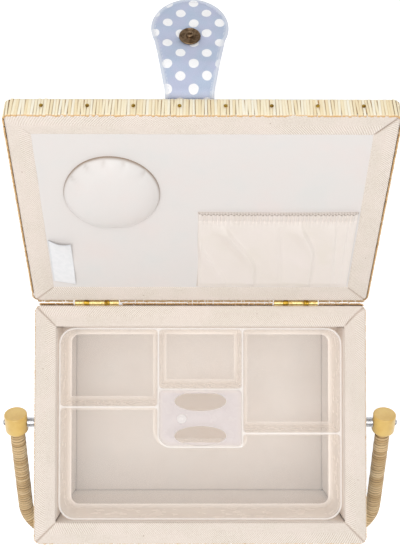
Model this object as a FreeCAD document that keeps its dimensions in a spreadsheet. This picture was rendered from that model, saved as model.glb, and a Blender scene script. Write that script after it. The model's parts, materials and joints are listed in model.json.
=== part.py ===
"""Sewing box: a padded rectangular basket with a hinged lid, a swing handle and a lift-out tray.

The frame is millimetres, +X right, +Y towards the hinges, +Z up, with the origin at the centre of the
underside. The lid stands open and the handle lies forward. The lid's pieces are laid out on the shut
lid and then turned about the hinge pins, and the tab's pieces are turned further about its folds.
"""
import FreeCAD, Part
import os

import Sketcher
from FreeCAD import Placement, Rotation, Vector

SHEET = "Sizes"
DRIVING = {
    # basket
    "body_width": 300.0,
    "body_depth": 215.0,
    "body_height": 175.0,
    "rim_width": 19.0,
    "corner_cut": 3.5,
    "panel_corner_cut": 2.8,
    "cover_lift": 1.0,
    "cover_thickness": 1.2,
    "panel_thickness": 10.0,
    "base_thickness": 6.0,
    "floor_pad_thickness": 4.0,
    "tape_thickness": 1.0,
    "border_thickness": 1.6,
    "border_height": 18.0,
    "top_border_height": 15.5,
    "hinge_side_drop": 3.0,
    "ledge_width": 8.5,
    "ledge_height": 8.0,
    # tray
    "tray_width": 259.0,
    "tray_depth": 175.0,
    "tray_height": 42.0,
    "tray_drop": 7.0,
    "tray_wall": 1.8,
    "tray_corner": 15.0,
    "tray_pocket_corner": 3.0,
    "tray_draft": 3.0,
    "grip_half_width": 38.5,
    "grip_front": -21.4,
    "grip_back": 31.2,
    "grip_corner": 12.0,
    "grip_recess": 1.5,
    "grip_plate": 2.0,
    "left_divider": 15.0,
    "right_divider": -9.0,
    "finger_half_length": 23.7,
    "finger_half_width": 8.9,
    "finger_corner": 8.0,
    "finger_back": 20.1,
    "finger_front": -11.5,
    "boss_offset": -17.1,
    "boss_place": 4.2,
    "boss_radius": 4.5,
    "boss_height": 1.2,
    # hinges
    "pin_behind_body": 2.7,
    "pin_above_rim": 0.25,
    "pin_radius": 1.0,
    "pin_clearance": 0.06,
    "barrel_radius": 2.5,
    "leaf_thickness": 1.0,
    "leaf_reach": 10.4,
    "leaf_back_gap": 0.3,
    "web_overlap": 0.5,
    "hinge_width": 39.6,
    "end_knuckle": 8.0,
    "lid_knuckle": 4.5,
    "knuckle_gap": 0.3,
    "left_hinge": -94.2,
    "right_hinge": 86.6,
    "screw_radius": 1.2,
    "screw_length": 8.0,
    "screw_head": 2.2,
    "screw_spacing": 14.0,
    "screw_clearance": 0.05,
    "lid_open_angle": 130.0,
    # lid
    "lid_gap": 0.5,
    "lid_thickness": 20.0,
    "rail_height": 12.0,
    "board_thickness": 3.0,
    "padding_thickness": 5.5,
    "lid_skin": 1.0,
    "lid_skin_corner_cut": 0.4,
    "padding_corner_cut": 4.2,
    "lid_lining_thickness": 4.7,
    "lid_lining_rise": 0.8,
    "nail_count": 8,
    "nail_pitch": 35.0,
    "nail_head": 1.5,
    "nail_head_height": 0.7,
    "nail_shank": 0.6,
    "nail_length": 9.0,
    "pincushion_x": -73.3,
    "pincushion_from_hinge": 135.0,
    "pincushion_radius": 39.5,
    "pincushion_height": 16.0,
    "pocket_left": -4.0,
    "pocket_right": 130.0,
    "pocket_near": 19.4,
    "pocket_far": 113.5,
    "pocket_depth": 4.0,
    "pocket_cloth": 1.0,
    "elastic_width": 10.0,
    "elastic_thickness": 1.0,
    "label_left": -130.5,
    "label_right": -111.0,
    "label_near": 26.6,
    "label_far": 79.7,
    "label_thickness": 0.5,
    # closing tab and magnetic snap
    "tab_x": -9.8,
    "tab_base_width": 38.0,
    "tab_neck_width": 60.0,
    "tab_thickness": 2.5,
    "tab_round": 30.5,
    "tab_round_place": 59.0,
    "tab_reach": 49.0,
    "tab_curl_place": 24.0,
    "tab_curl_gap": 1.2,
    "tab_fold_gap": 1.6,
    "tab_before_edge": 2.9,
    "tab_anchor_length": 26.0,
    "tab_anchor_thickness": 2.0,
    "tab_anchor_gap": 2.2,
    "tab_rest_bend": 60.0,
    "tab_rest_curl": 18.0,
    "snap_radius": 8.5,
    "snap_disc": 1.2,
    "stud_radius": 3.0,
    "stud_length": 2.5,
    "stud_clearance": 0.4,
    "socket_radius": 8.5,
    "socket_flange": 1.0,
    "socket_barrel": 7.0,
    "socket_depth": 5.0,
    "socket_bore_depth": 4.0,
    "magnet_radius": 6.5,
    "magnet_thickness": 2.0,
    "washer_radius": 7.0,
    "washer_thickness": 0.8,
    # handle
    "pivot_drop": 19.5,
    "arm_offset": 170.0,
    "handle_length": 144.0,
    "handle_bend": 40.0,
    "handle_droop": 34.0,
    "cane_radius": 5.5,
    "cane_end": 8.0,
    "wrap_radius": 7.0,
    "wrap_start": 12.2,
    "fit_gap": 0.1,
    "cap_radius": 10.5,
    "cap_back": 10.0,
    "cap_front": 12.0,
    "cap_edge": 1.5,
    "bolt_radius": 2.0,
    "bolt_hole": 2.06,
    "bolt_head_radius": 3.0,
    "bolt_head_height": 1.5,
    "bolt_tail": 5.0,
    "spacer_radius": 4.5,
    "nut_radius": 4.0,
    "nut_height": 3.0,
    "nut_washer_radius": 5.0,
    "nut_washer_height": 1.0,
}

PAST = 1.0  # how far a cutting tool runs past the face that it cuts

doc = FreeCAD.newDocument("sewing_box")
sheet = doc.addObject("Spreadsheet::Sheet", SHEET)
for row, (alias, number) in enumerate(DRIVING.items(), start=1):
    sheet.set(f"A{row}", alias.replace("_", " "))
    sheet.set(f"B{row}", str(number))
    sheet.setAlias(f"B{row}", alias)
doc.recompute()


class Size:
    """A number together with the sheet rule that it is bound to."""

    def __init__(self, number, rule=None):
        self.number = float(number)
        self.rule = rule or repr(float(number))

    def __float__(self):
        return self.number

    def __add__(self, other):
        other = as_size(other)
        return Size(self.number + other.number, f"({self.rule} + {other.rule})")

    def __sub__(self, other):
        other = as_size(other)
        return Size(self.number - other.number, f"({self.rule} - {other.rule})")

    def __mul__(self, factor):
        factor = as_size(factor)
        return Size(self.number * factor.number, f"({self.rule} * {factor.rule})")

    def __truediv__(self, divisor):
        return Size(self.number / divisor, f"({self.rule} / {divisor})")

    def __neg__(self):
        return Size(-self.number, f"(-1 * {self.rule})")

    def __radd__(self, other):
        return as_size(other) + self

    def __rsub__(self, other):
        return as_size(other) - self

    def __rmul__(self, factor):
        return self * factor


def as_size(number):
    return number if isinstance(number, Size) else Size(number)


def size(alias):
    """The sheet's value of one driving dimension."""
    return Size(sheet.get(alias), f"{SHEET}.{alias}")


# ---------------------------------------------------------------- levels and places worked out once

HALF_WIDTH = size("body_width") / 2
HALF_DEPTH = size("body_depth") / 2
RIM_TOP = size("body_height")
WALL_TOP = RIM_TOP - size("tape_thickness")
PANEL_OUT_X = HALF_WIDTH - size("cover_thickness")
PANEL_OUT_Y = HALF_DEPTH - size("cover_thickness")
PANEL_IN_X = PANEL_OUT_X - size("panel_thickness")
PANEL_IN_Y = PANEL_OUT_Y - size("panel_thickness")
ROOM_X = HALF_WIDTH - size("rim_width")
ROOM_Y = HALF_DEPTH - size("rim_width")
FLOOR_TOP = size("base_thickness") + size("floor_pad_thickness")
BORDER_X = HALF_WIDTH + size("border_thickness")
BORDER_Y = HALF_DEPTH + size("border_thickness")

PIN_Y = HALF_DEPTH + size("pin_behind_body")
PIN_Z = RIM_TOP + size("pin_above_rim")

LID_FACE = RIM_TOP + size("lid_gap")
RAIL_FACE = LID_FACE + size("tape_thickness")
RAIL_TOP = RAIL_FACE + size("rail_height")
BOARD_TOP = RAIL_TOP + size("board_thickness")
PADDING_TOP = BOARD_TOP + size("padding_thickness")
LID_TOP = PADDING_TOP + size("lid_skin")
RAIL_OUT_X = HALF_WIDTH - size("lid_skin")
RAIL_OUT_Y = HALF_DEPTH - size("lid_skin")
LINING_FACE = LID_FACE + size("lid_lining_rise")

TRAY_TOP = RIM_TOP - size("tray_drop")
TRAY_BOTTOM = TRAY_TOP - size("tray_height")

PIVOT_Z = RIM_TOP - size("pivot_drop")

FOLD_Y = -1 * (BORDER_Y + size("tab_before_edge"))
FOLD_Z = LID_TOP + size("tab_anchor_thickness") / 2
SNAP_Y = FOLD_Y - size("tab_reach")
ROUND_Y = FOLD_Y - size("tab_round_place")
SNAP_Z = FOLD_Z - size("tab_reach")
CURL_Y = FOLD_Y - size("tab_curl_place")
TAB_UNDER = FOLD_Z - size("tab_thickness") / 2
TAB_OVER = FOLD_Z + size("tab_thickness") / 2

X_AXIS = Vector(1, 0, 0)
Y_AXIS = Vector(0, 1, 0)
Z_AXIS = Vector(0, 0, 1)
UPRIGHT = Rotation()
ALONG_X = Rotation(Y_AXIS, 90)
ALONG_BACK = Rotation(X_AXIS, -90)
ALONG_FRONT = Rotation(X_AXIS, 90)

SIDES = ("front", "back", "left", "right")
nodes = {}


# ---------------------------------------------------------------- building blocks

def bind(thing, **sizes):
    """Bind properties of an object to the sheet."""
    for name, rule in sizes.items():
        thing.setExpression(name, as_size(rule).rule)


def place(thing, corner, turn=UPRIGHT):
    """Put an object's own origin at a bound place, turned by a fixed rotation."""
    corner = [as_size(value) for value in corner]
    thing.Placement = Placement(Vector(*[value.number for value in corner]), turn)
    for letter, value in zip("xyz", corner):
        thing.setExpression(f"Placement.Base.{letter}", value.rule)


def block(name, low, high):
    """A box between two corners."""
    thing = doc.addObject("Part::Box", name)
    spans = [as_size(top) - bottom for bottom, top in zip(low, high)]
    bind(thing, Length=spans[0], Width=spans[1], Height=spans[2])
    place(thing, low)
    return thing


def rod(name, start, radius, length, turn=UPRIGHT):
    """A cylinder that starts at a point and runs along its turned Z axis."""
    thing = doc.addObject("Part::Cylinder", name)
    bind(thing, Radius=radius, Height=length)
    place(thing, start, turn)
    return thing


def fuse(name, pieces):
    thing = doc.addObject("Part::MultiFuse", name)
    thing.Shapes = pieces
    thing.Refine = True
    return thing


def group(name, pieces):
    thing = doc.addObject("Part::Compound", name)
    thing.Links = pieces
    return thing


def cut(name, base, tools):
    """Take every tool away from the base; the tools don't meet each other."""
    thing = doc.addObject("Part::Cut", name)
    thing.Base = base
    thing.Tool = tools[0] if len(tools) == 1 else group(name + "_tools", tools)
    return thing


def origin_plane(body, role):
    return next(item for item in body.Origin.OriginFeatures if item.Role == role)


def new_sketch(body, name, height=0, role="XY_Plane"):
    """A sketch on one of the body's own origin planes, raised to a bound height."""
    sketch = body.newObject("Sketcher::SketchObject", name)
    sketch.AttachmentSupport = [(origin_plane(body, role), "")]
    sketch.MapMode = "FlatFace"
    sketch.AttachmentOffset = Placement(Vector(0, 0, float(height)), UPRIGHT)
    sketch.setExpression("AttachmentOffset.Base.z", as_size(height).rule)
    return sketch


def pin_point(sketch, geometry, point, x=None, y=None):
    """Hold one point of the sketch at bound distances from the sketch's origin."""
    for kind, value in (("DistanceX", x), ("DistanceY", y)):
        if value is not None:
            value = as_size(value)
            index = sketch.addConstraint(Sketcher.Constraint(kind, -1, 1, geometry, point, value.number))
            sketch.setExpression(f"Constraints[{index}]", value.rule)


def polygon(sketch, points):
    """A closed loop of straight lines whose corners are bound."""
    points = [(as_size(x), as_size(y)) for x, y in points]
    flat = [Vector(x.number, y.number, 0) for x, y in points]
    first = sketch.GeometryCount
    count = len(points)
    for i in range(count):
        sketch.addGeometry(Part.LineSegment(flat[i], flat[(i + 1) % count]), False)
    for i in range(count):
        following = first + (i + 1) % count
        sketch.addConstraint(Sketcher.Constraint("Coincident", first + i, 2, following, 1))
    for i, (x, y) in enumerate(points):
        pin_point(sketch, first + i, 1, x, y)


def circle(sketch, x, y, radius):
    """A circle with a bound centre and radius."""
    x, y, radius = as_size(x), as_size(y), as_size(radius)
    shape = Part.Circle(Vector(x.number, y.number, 0), Z_AXIS, radius.number)
    index = sketch.addGeometry(shape, False)
    pin_point(sketch, index, 3, x, y)
    limit = sketch.addConstraint(Sketcher.Constraint("Radius", index, radius.number))
    sketch.setExpression(f"Constraints[{limit}]", radius.rule)


def rounded(sketch, corners, radii):
    """A closed anticlockwise loop of level and upright lines whose corners are round.

    Each line is bound to one coordinate, and each arc is tangent to the lines beside it.
    The radii are one size for all corners, or a list with one for each.
    """
    corners = [(as_size(x), as_size(y)) for x, y in corners]
    radii = radii if isinstance(radii, list) else [as_size(radii)] * len(corners)
    flat = [Vector(x.number, y.number, 0) for x, y in corners]
    count = len(flat)
    ways = [(flat[(i + 1) % count] - flat[i]).normalize() for i in range(count)]
    lines = []
    for i in range(count):
        start = flat[i] + ways[i] * radii[i].number
        end = flat[(i + 1) % count] - ways[i] * radii[(i + 1) % count].number
        lines.append(sketch.addGeometry(Part.LineSegment(start, end), False))
    for i, line in enumerate(lines):
        level = abs(ways[i].x) > 0.5
        sketch.addConstraint(Sketcher.Constraint("Horizontal" if level else "Vertical", line))
        if level:
            pin_point(sketch, line, 1, y=corners[i][1])
        else:
            pin_point(sketch, line, 1, x=corners[i][0])
    for i, before in enumerate(lines):
        after = lines[(i + 1) % count]
        turn = ways[i].cross(ways[(i + 1) % count]).z
        corner, radius = flat[(i + 1) % count], radii[(i + 1) % count]
        centre = corner + (ways[(i + 1) % count] - ways[i]) * radius.number
        begin = corner - ways[i] * radius.number
        end = corner + ways[(i + 1) % count] * radius.number
        start_point, end_point = (begin, end) if turn > 0 else (end, begin)
        angles = [Vector(1, 0, 0).getAngle(p - centre) for p in (start_point, end_point)]
        signs = [1 if (p - centre).y >= -1e-9 else -1 for p in (start_point, end_point)]
        arc = Part.ArcOfCircle(Part.Circle(centre, Z_AXIS, radius.number),
                               angles[0] * signs[0], angles[1] * signs[1])
        index = sketch.addGeometry(arc, False)
        near, far = (1, 2) if turn > 0 else (2, 1)
        sketch.addConstraint(Sketcher.Constraint("Tangent", before, 2, index, near))
        sketch.addConstraint(Sketcher.Constraint("Tangent", index, far, after, 1))
        limit = sketch.addConstraint(Sketcher.Constraint("Radius", index, radius.number))
        sketch.setExpression(f"Constraints[{limit}]", radius.rule)


def rectangle(low, high):
    """The anticlockwise corners of a rectangle."""
    return [(low[0], low[1]), (high[0], low[1]), (high[0], high[1]), (low[0], high[1])]


def extrude(body, kind, sketch, length, down=False, draft=None):
    """A pad or pocket of one sketch, checked to add or remove material."""
    doc.recompute()
    before = body.Shape.Volume if body.Tip else 0.0
    feature = body.newObject("PartDesign::" + kind, sketch.Name + "_" + kind.lower())
    feature.Profile = sketch
    feature.Reversed = down
    bind(feature, Length=length)
    if draft is not None:
        bind(feature, TaperAngle=draft)
    doc.recompute()
    changed = body.Shape.Volume - before
    if (kind == "Pad") != (changed > 0):
        raise ValueError(f"{feature.Name} changes the volume by {changed:.1f}")
    return feature


def new_body(name):
    return doc.addObject("PartDesign::Body", name)


def slab(name, points, low, high):
    """A body padded from one straight-sided outline, between two levels."""
    body = new_body(name)
    sketch = new_sketch(body, name + "_outline", low)
    polygon(sketch, points)
    extrude(body, "Pad", sketch, as_size(high) - low)
    return body


def turned(name, profile):
    """A body of revolution: the profile's first number is the radius, its second lies along Y."""
    body = new_body(name)
    sketch = new_sketch(body, name + "_profile")
    polygon(sketch, profile)
    doc.recompute()
    feature = body.newObject("PartDesign::Revolution", name + "_turn")
    feature.Profile = sketch
    feature.ReferenceAxis = (sketch, ["V_Axis"])
    feature.Angle = 360
    doc.recompute()
    return body


def keep(name, thing, placement=None):
    """Name a finished piece, and turn it with the part that carries it."""
    if placement is not None:
        thing.Label = name + "_laid_out"
        thing = group(name, [thing])
        thing.Placement = placement
    thing.Label = name
    nodes[name] = thing


def turn_about(y, z, angle):
    """A turn that lifts what lies in front of a line along X."""
    return Placement(Vector(), Rotation(-X_AXIS, float(angle)), Vector(0, float(y), float(z)))


LID_OPEN = turn_about(PIN_Y, PIN_Z, size("lid_open_angle"))
TAB_BENT = LID_OPEN.multiply(turn_about(FOLD_Y, FOLD_Z, size("tab_rest_bend")))
TAB_CURLED = TAB_BENT.multiply(turn_about(CURL_Y, FOLD_Z, size("tab_rest_curl")))


def side_outline(side, out_x, out_y, in_x, in_y, clip):
    """One side of a rectangular frame, mitred at both ends, with its outer corners clipped."""
    if side in ("front", "back"):
        sign = 1 if side == "back" else -1
        half = [(out_x - clip, out_y), (out_x - clip / 2, out_y - clip / 2), (in_x, in_y)]
        near = [(x, sign * y) for x, y in half]
        return near + [(-1 * x, y) for x, y in reversed(near)]
    sign = 1 if side == "right" else -1
    half = [(out_x, out_y - clip), (out_x - clip / 2, out_y - clip / 2), (in_x, in_y)]
    near = [(sign * x, y) for x, y in half]
    return near + [(x, -1 * y) for x, y in reversed(near)]


def frame_side(name, side, outer, inner, low, high):
    """One mitred side of a frame as a body of its own."""
    points = side_outline(side, outer[0], outer[1], inner[0], inner[1], size("corner_cut"))
    return slab(name, points, low, high)


# ---------------------------------------------------------------- basket

def hinge_places():
    return {"left": size("left_hinge"), "right": size("right_hinge")}


def leaf_recess(name, place_x, low, high):
    """The shallow seat that a hinge leaf is let into."""
    half = size("hinge_width") / 2 + size("fit_gap")
    front = PIN_Y - size("barrel_radius") - size("leaf_reach") - size("fit_gap")
    return block(name, (place_x - half, front, low), (place_x + half, HALF_DEPTH + PAST, high))


def screw_places(place_x):
    """Three screws along a leaf."""
    leaf_middle = PIN_Y - size("barrel_radius") - size("leaf_reach") / 2
    return [(place_x + step * size("screw_spacing"), leaf_middle) for step in (-1, 0, 1)]


def screw_holes(name, place_x, start, upward):
    """Pilot holes for one leaf's screws, from the leaf's seat into the wood."""
    radius = size("screw_radius") + size("screw_clearance")
    length = size("screw_length") + PAST
    foot = start if upward else start - length
    return [rod(f"{name}_{i}", (x, y, foot), radius, length)
            for i, (x, y) in enumerate(screw_places(place_x))]


def ring_points(x, y, clip):
    """A rectangle with clipped corners, anticlockwise."""
    return [(-1 * x + clip, -1 * y), (x - clip, -1 * y), (x, -1 * y + clip), (x, y - clip),
            (x - clip, y), (-1 * x + clip, y), (-1 * x, y - clip), (-1 * x, -1 * y + clip)]


def make_base():
    keep("base_panel", slab("base_panel", ring_points(PANEL_OUT_X, PANEL_OUT_Y, size("panel_corner_cut")),
                            as_size(0), size("base_thickness")))
    keep("floor_pad", block("floor_pad", (-1 * ROOM_X, -1 * ROOM_Y, size("base_thickness")),
                            (ROOM_X, ROOM_Y, FLOOR_TOP)))


def wall_blank(side, inner_x, outer_x, inner_y, outer_y, name):
    """An upright wall: the front and back run the full width, the sides fit between them."""
    low, high = size("base_thickness"), WALL_TOP
    if side == "front":
        return block(name, (-1 * outer_x, -1 * outer_y, low), (outer_x, -1 * inner_y, high))
    if side == "back":
        return block(name, (-1 * outer_x, inner_y, low), (outer_x, outer_y, high))
    if side == "left":
        return block(name, (-1 * outer_x, -1 * inner_y, low), (-1 * inner_x, inner_y, high))
    return block(name, (inner_x, -1 * inner_y, low), (outer_x, inner_y, high))


def corner_posts(name):
    """Tools that clip the panels' outer upright corners."""
    reach = size("panel_corner_cut") + PAST
    tools = []
    for i, (sx, sy) in enumerate(((-1, -1), (1, -1), (1, 1), (-1, 1))):
        x, y = sx * PANEL_OUT_X, sy * PANEL_OUT_Y
        points = [(x + sx * PAST, y + sy * PAST), (x - sx * reach, y + sy * PAST),
                  (x + sx * PAST, y - sy * reach)]
        if sx * sy < 0:
            points.reverse()
        tools.append(slab(f"{name}_{i}", points, -PAST, RIM_TOP))
    return tools


def pivot_holes(name, radius, x_from, x_to, sides=(-1, 1)):
    """Round tools on the handle's pivot line, one each side."""
    tools = []
    for sign in sides:
        start = as_size(x_from) if sign > 0 else -1 * as_size(x_to)
        tools.append(rod(f"{name}_{'right' if sign > 0 else 'left'}", (start, 0, PIVOT_Z), radius,
                         as_size(x_to) - x_from, ALONG_X))
    return tools


def socket_hole(name):
    """The stepped hole in the front wall that takes the snap's socket and its magnet."""
    radius = size("socket_barrel") + size("fit_gap")
    depth = size("cover_thickness") + size("socket_depth") + size("magnet_thickness")
    return rod(name, (size("tab_x"), -1 * HALF_DEPTH - PAST, SNAP_Z), radius, depth + PAST, ALONG_BACK)


def make_panels():
    for side in SIDES:
        name = f"{side}_panel"
        blank = wall_blank(side, PANEL_IN_X, PANEL_OUT_X, PANEL_IN_Y, PANEL_OUT_Y, name + "_blank")
        if side == "front":
            tools = corner_posts("front_corner")[:2] + [socket_hole("front_socket_hole")]
        elif side == "back":
            tools = corner_posts("back_corner")[2:]
            seat = WALL_TOP - size("leaf_thickness")
            for hand, place_x in hinge_places().items():
                recess = leaf_recess(f"body_seat_{hand}", place_x, seat, RIM_TOP)
                holes = screw_holes(f"body_pilot_{hand}", place_x, seat, upward=False)
                tools.append(fuse(f"body_hinge_cut_{hand}", [recess] + holes))
        else:
            sign = 1 if side == "right" else -1
            tools = pivot_holes(side + "_bolt_hole", size("bolt_hole"), PANEL_IN_X - PAST,
                                PANEL_OUT_X + PAST, (sign,))
        keep(name, cut(name, blank, tools))


def make_linings():
    for side in SIDES:
        name = f"{side}_lining"
        blank = wall_blank(side, ROOM_X, PANEL_IN_X, ROOM_Y, PANEL_IN_Y, name + "_blank")
        if side in ("front", "back"):
            keep(name, blank)
            continue
        sign = 1 if side == "right" else -1
        tail = PANEL_IN_X - size("bolt_tail") - size("fit_gap")
        radius = size("nut_washer_radius") + size("fit_gap")
        tools = pivot_holes(side + "_nut_room", radius, tail, PANEL_IN_X + PAST, (sign,))
        keep(name, cut(name, blank, tools))


def make_outer_cover():
    """The cloth round the outside of the four walls."""
    body = new_body("outer_cover_blank")
    sketch = new_sketch(body, "outer_cover_outline", size("cover_lift"))
    polygon(sketch, ring_points(HALF_WIDTH, HALF_DEPTH, size("corner_cut")))
    polygon(sketch, ring_points(PANEL_OUT_X, PANEL_OUT_Y, size("panel_corner_cut")))
    extrude(body, "Pad", sketch, WALL_TOP - size("cover_lift"))
    tools = pivot_holes("cover_bolt_hole", size("bolt_hole"), PANEL_OUT_X - PAST, HALF_WIDTH + PAST)
    tools.append(socket_hole("cover_socket_hole"))
    seat = WALL_TOP - size("leaf_thickness")
    for hand, place_x in hinge_places().items():
        tools.append(leaf_recess(f"cover_seat_{hand}", place_x, seat, RIM_TOP))
    keep("outer_cover", cut("outer_cover", body, tools))


def make_borders():
    """The wicker bands round the top and the bottom of the walls."""
    top_low = WALL_TOP - size("top_border_height")
    for name, low, top in (("bottom_border", as_size(0), size("border_height")),
                           ("top_border", top_low, WALL_TOP)):
        pieces = []
        for side in SIDES:
            high = top
            if name == "top_border" and side == "back":
                high = high - size("hinge_side_drop")
            strip = frame_side(f"{name}_{side}", side, (BORDER_X, BORDER_Y), (HALF_WIDTH, HALF_DEPTH),
                               low, high)
            if name == "top_border" and side in ("left", "right"):
                sign = 1 if side == "right" else -1
                tools = pivot_holes(f"{name}_{side}_hole", size("bolt_hole"), HALF_WIDTH - PAST,
                                    BORDER_X + PAST, (sign,))
                strip = cut(f"{name}_{side}_drilled", strip, tools)
            pieces.append(strip)
        keep(name, group(name, pieces))


def make_rim_tapes():
    for side in SIDES:
        name = f"rim_tape_{side}"
        keep(name, frame_side(name, side, (HALF_WIDTH, HALF_DEPTH), (ROOM_X, ROOM_Y), WALL_TOP, RIM_TOP))


def make_ledges():
    """The battens that the tray stands on."""
    low, high = TRAY_BOTTOM - size("ledge_height"), TRAY_BOTTOM
    inner_x = ROOM_X - size("ledge_width")
    left = block("tray_ledge_left", (-1 * ROOM_X, -1 * ROOM_Y, low), (-1 * inner_x, ROOM_Y, high))
    right = block("tray_ledge_right", (inner_x, -1 * ROOM_Y, low), (ROOM_X, ROOM_Y, high))
    keep("tray_ledges", group("tray_ledges", [left, right]))


# ---------------------------------------------------------------- hinges

def knuckle_spans(place_x):
    """The five knuckles from left to right, each with its start and length; odd ones are the lid's."""
    left = place_x - size("hinge_width") / 2
    gap = size("knuckle_gap")
    middle = size("hinge_width") - 2 * (size("end_knuckle") + size("lid_knuckle")) - 4 * gap
    lengths = [size("end_knuckle"), size("lid_knuckle"), middle, size("lid_knuckle"),
               size("end_knuckle")]
    spans = []
    for length in lengths:
        spans.append((left, length))
        left = left + length + gap
    return spans


def make_leaf(name, place_x, owner, low, high):
    """A hinge leaf: a plate, its knuckles, the webs that join them, the pin hole and screw holes."""
    half = size("hinge_width") / 2
    back = PIN_Y - size("barrel_radius") - size("leaf_back_gap")
    front = PIN_Y - size("barrel_radius") - size("leaf_reach")
    pieces = [block(name + "_plate", (place_x - half, front, low), (place_x + half, back, high))]
    for i, (start, length) in enumerate(knuckle_spans(place_x)):
        if i % 2 == owner:
            pieces.append(rod(f"{name}_knuckle_{i}", (start, PIN_Y, PIN_Z), size("barrel_radius"),
                              length, ALONG_X))
            pieces.append(block(f"{name}_web_{i}", (start, back - size("web_overlap"), low),
                                (start + length, PIN_Y - size("web_overlap"), high)))
    hole = rod(name + "_pin_hole", (place_x - half - PAST, PIN_Y, PIN_Z),
               size("pin_radius") + size("pin_clearance"), size("hinge_width") + 2 * PAST, ALONG_X)
    radius = size("screw_head") + size("screw_clearance")
    heads = [rod(f"{name}_screw_hole_{i}", (x, y, low - PAST), radius, high - low + 2 * PAST)
             for i, (x, y) in enumerate(screw_places(place_x))]
    return cut(name, fuse(name + "_blank", pieces), [hole] + heads)


def make_screws(name, start, upward):
    """The screws of both hinges: a flat head as thick as the leaf, and a shank into the wood."""
    pieces = []
    for hand, place_x in hinge_places().items():
        for i, (x, y) in enumerate(screw_places(place_x)):
            head_low = start if not upward else start - size("leaf_thickness")
            foot = start if upward else start - size("screw_length")
            head = rod(f"{name}_{hand}_{i}_head", (x, y, head_low), size("screw_head"),
                       size("leaf_thickness"))
            shank = rod(f"{name}_{hand}_{i}_shank", (x, y, foot), size("screw_radius"),
                        size("screw_length"))
            pieces.append(fuse(f"{name}_{hand}_{i}", [head, shank]))
    return group(name, pieces)


def make_hinges():
    body_seat = WALL_TOP - size("leaf_thickness")
    lid_seat = RAIL_FACE + size("leaf_thickness")
    pins = []
    for hand, place_x in hinge_places().items():
        body_leaf = f"hinge_{hand}_body_leaf"
        lid_leaf = f"hinge_{hand}_lid_leaf"
        keep(body_leaf, make_leaf(body_leaf, place_x, 0, body_seat, WALL_TOP))
        keep(lid_leaf, make_leaf(lid_leaf, place_x, 1, RAIL_FACE, lid_seat), LID_OPEN)
        pins.append(rod(f"hinge_pin_{hand}", (place_x - size("hinge_width") / 2, PIN_Y, PIN_Z),
                        size("pin_radius"), size("hinge_width"), ALONG_X))
    keep("hinge_pins", group("hinge_pins", pins))
    keep("body_hinge_screws", make_screws("body_hinge_screws", body_seat, upward=False))
    keep("lid_hinge_screws", make_screws("lid_hinge_screws", lid_seat, upward=True), LID_OPEN)


# ---------------------------------------------------------------- lid

def from_hinge(distance):
    """The shut lid's Y at a distance from its hinged edge."""
    return HALF_DEPTH - distance


def nail_tools(name, radius, start, length):
    """Round bars at the nails' places along the lid's front edge."""
    count = int(DRIVING["nail_count"])
    middle = LID_FACE + size("lid_thickness") / 2
    places = [(i - (count - 1) / 2) * size("nail_pitch") for i in range(count)]
    return [rod(f"{name}_{i}", (x, start, middle), radius, length, ALONG_BACK)
            for i, x in enumerate(places)]


def nail_holes(name):
    radius = size("nail_shank") + size("fit_gap") / 2
    return nail_tools(name, radius, -1 * BORDER_Y - PAST, size("nail_length") + PAST)


def make_rails():
    """The wooden frame of the lid; the front and back rails run the full width."""
    for side in SIDES:
        name = f"lid_rail_{side}"
        low, high = RAIL_FACE, RAIL_TOP
        if side in ("front", "back"):
            ys = (ROOM_Y, RAIL_OUT_Y) if side == "back" else (-1 * RAIL_OUT_Y, -1 * ROOM_Y)
            blank = block(name + "_blank", (-1 * RAIL_OUT_X, ys[0], low), (RAIL_OUT_X, ys[1], high))
        else:
            xs = (ROOM_X, RAIL_OUT_X) if side == "right" else (-1 * RAIL_OUT_X, -1 * ROOM_X)
            blank = block(name + "_blank", (xs[0], -1 * ROOM_Y, low), (xs[1], ROOM_Y, high))
        if side == "front":
            piece = cut(name, blank, nail_holes("rail_nail_hole"))
        elif side == "back":
            seat = RAIL_FACE + size("leaf_thickness")
            tools = []
            for hand, place_x in hinge_places().items():
                recess = leaf_recess(f"lid_seat_{hand}", place_x, LID_FACE, seat)
                holes = screw_holes(f"lid_pilot_{hand}", place_x, seat, upward=True)
                tools.append(fuse(f"lid_hinge_cut_{hand}", [recess] + holes))
            piece = cut(name, blank, tools)
        else:
            piece = blank
        keep(name, piece, LID_OPEN)


def make_lid_layers():
    """The board, padding and inner lining of the lid."""
    x, y = RAIL_OUT_X, RAIL_OUT_Y
    keep("lid_board", block("lid_board", (-1 * x, -1 * y, RAIL_TOP), (x, y, BOARD_TOP)), LID_OPEN)
    outline = ring_points(x, y, size("padding_corner_cut"))
    keep("lid_padding", slab("lid_padding", outline, BOARD_TOP, PADDING_TOP), LID_OPEN)
    lining_top = LINING_FACE + size("lid_lining_thickness")
    keep("lid_lining", block("lid_lining", (-1 * ROOM_X, -1 * ROOM_Y, LINING_FACE),
                             (ROOM_X, ROOM_Y, lining_top)), LID_OPEN)


def make_lid_cover():
    """The cloth over the lid's top and down its four edges."""
    body = new_body("lid_cover_blank")
    low = RAIL_FACE + size("leaf_thickness")
    outer = new_sketch(body, "lid_cover_outline", low)
    polygon(outer, ring_points(HALF_WIDTH, HALF_DEPTH, size("lid_skin_corner_cut")))
    extrude(body, "Pad", outer, LID_TOP - low)
    inner = new_sketch(body, "lid_cover_room", low)
    polygon(inner, rectangle((-1 * RAIL_OUT_X, -1 * RAIL_OUT_Y), (RAIL_OUT_X, RAIL_OUT_Y)))
    extrude(body, "Pocket", inner, PADDING_TOP - low, down=True)
    keep("lid_cover", cut("lid_cover", body, nail_holes("cover_nail_hole")), LID_OPEN)


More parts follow.
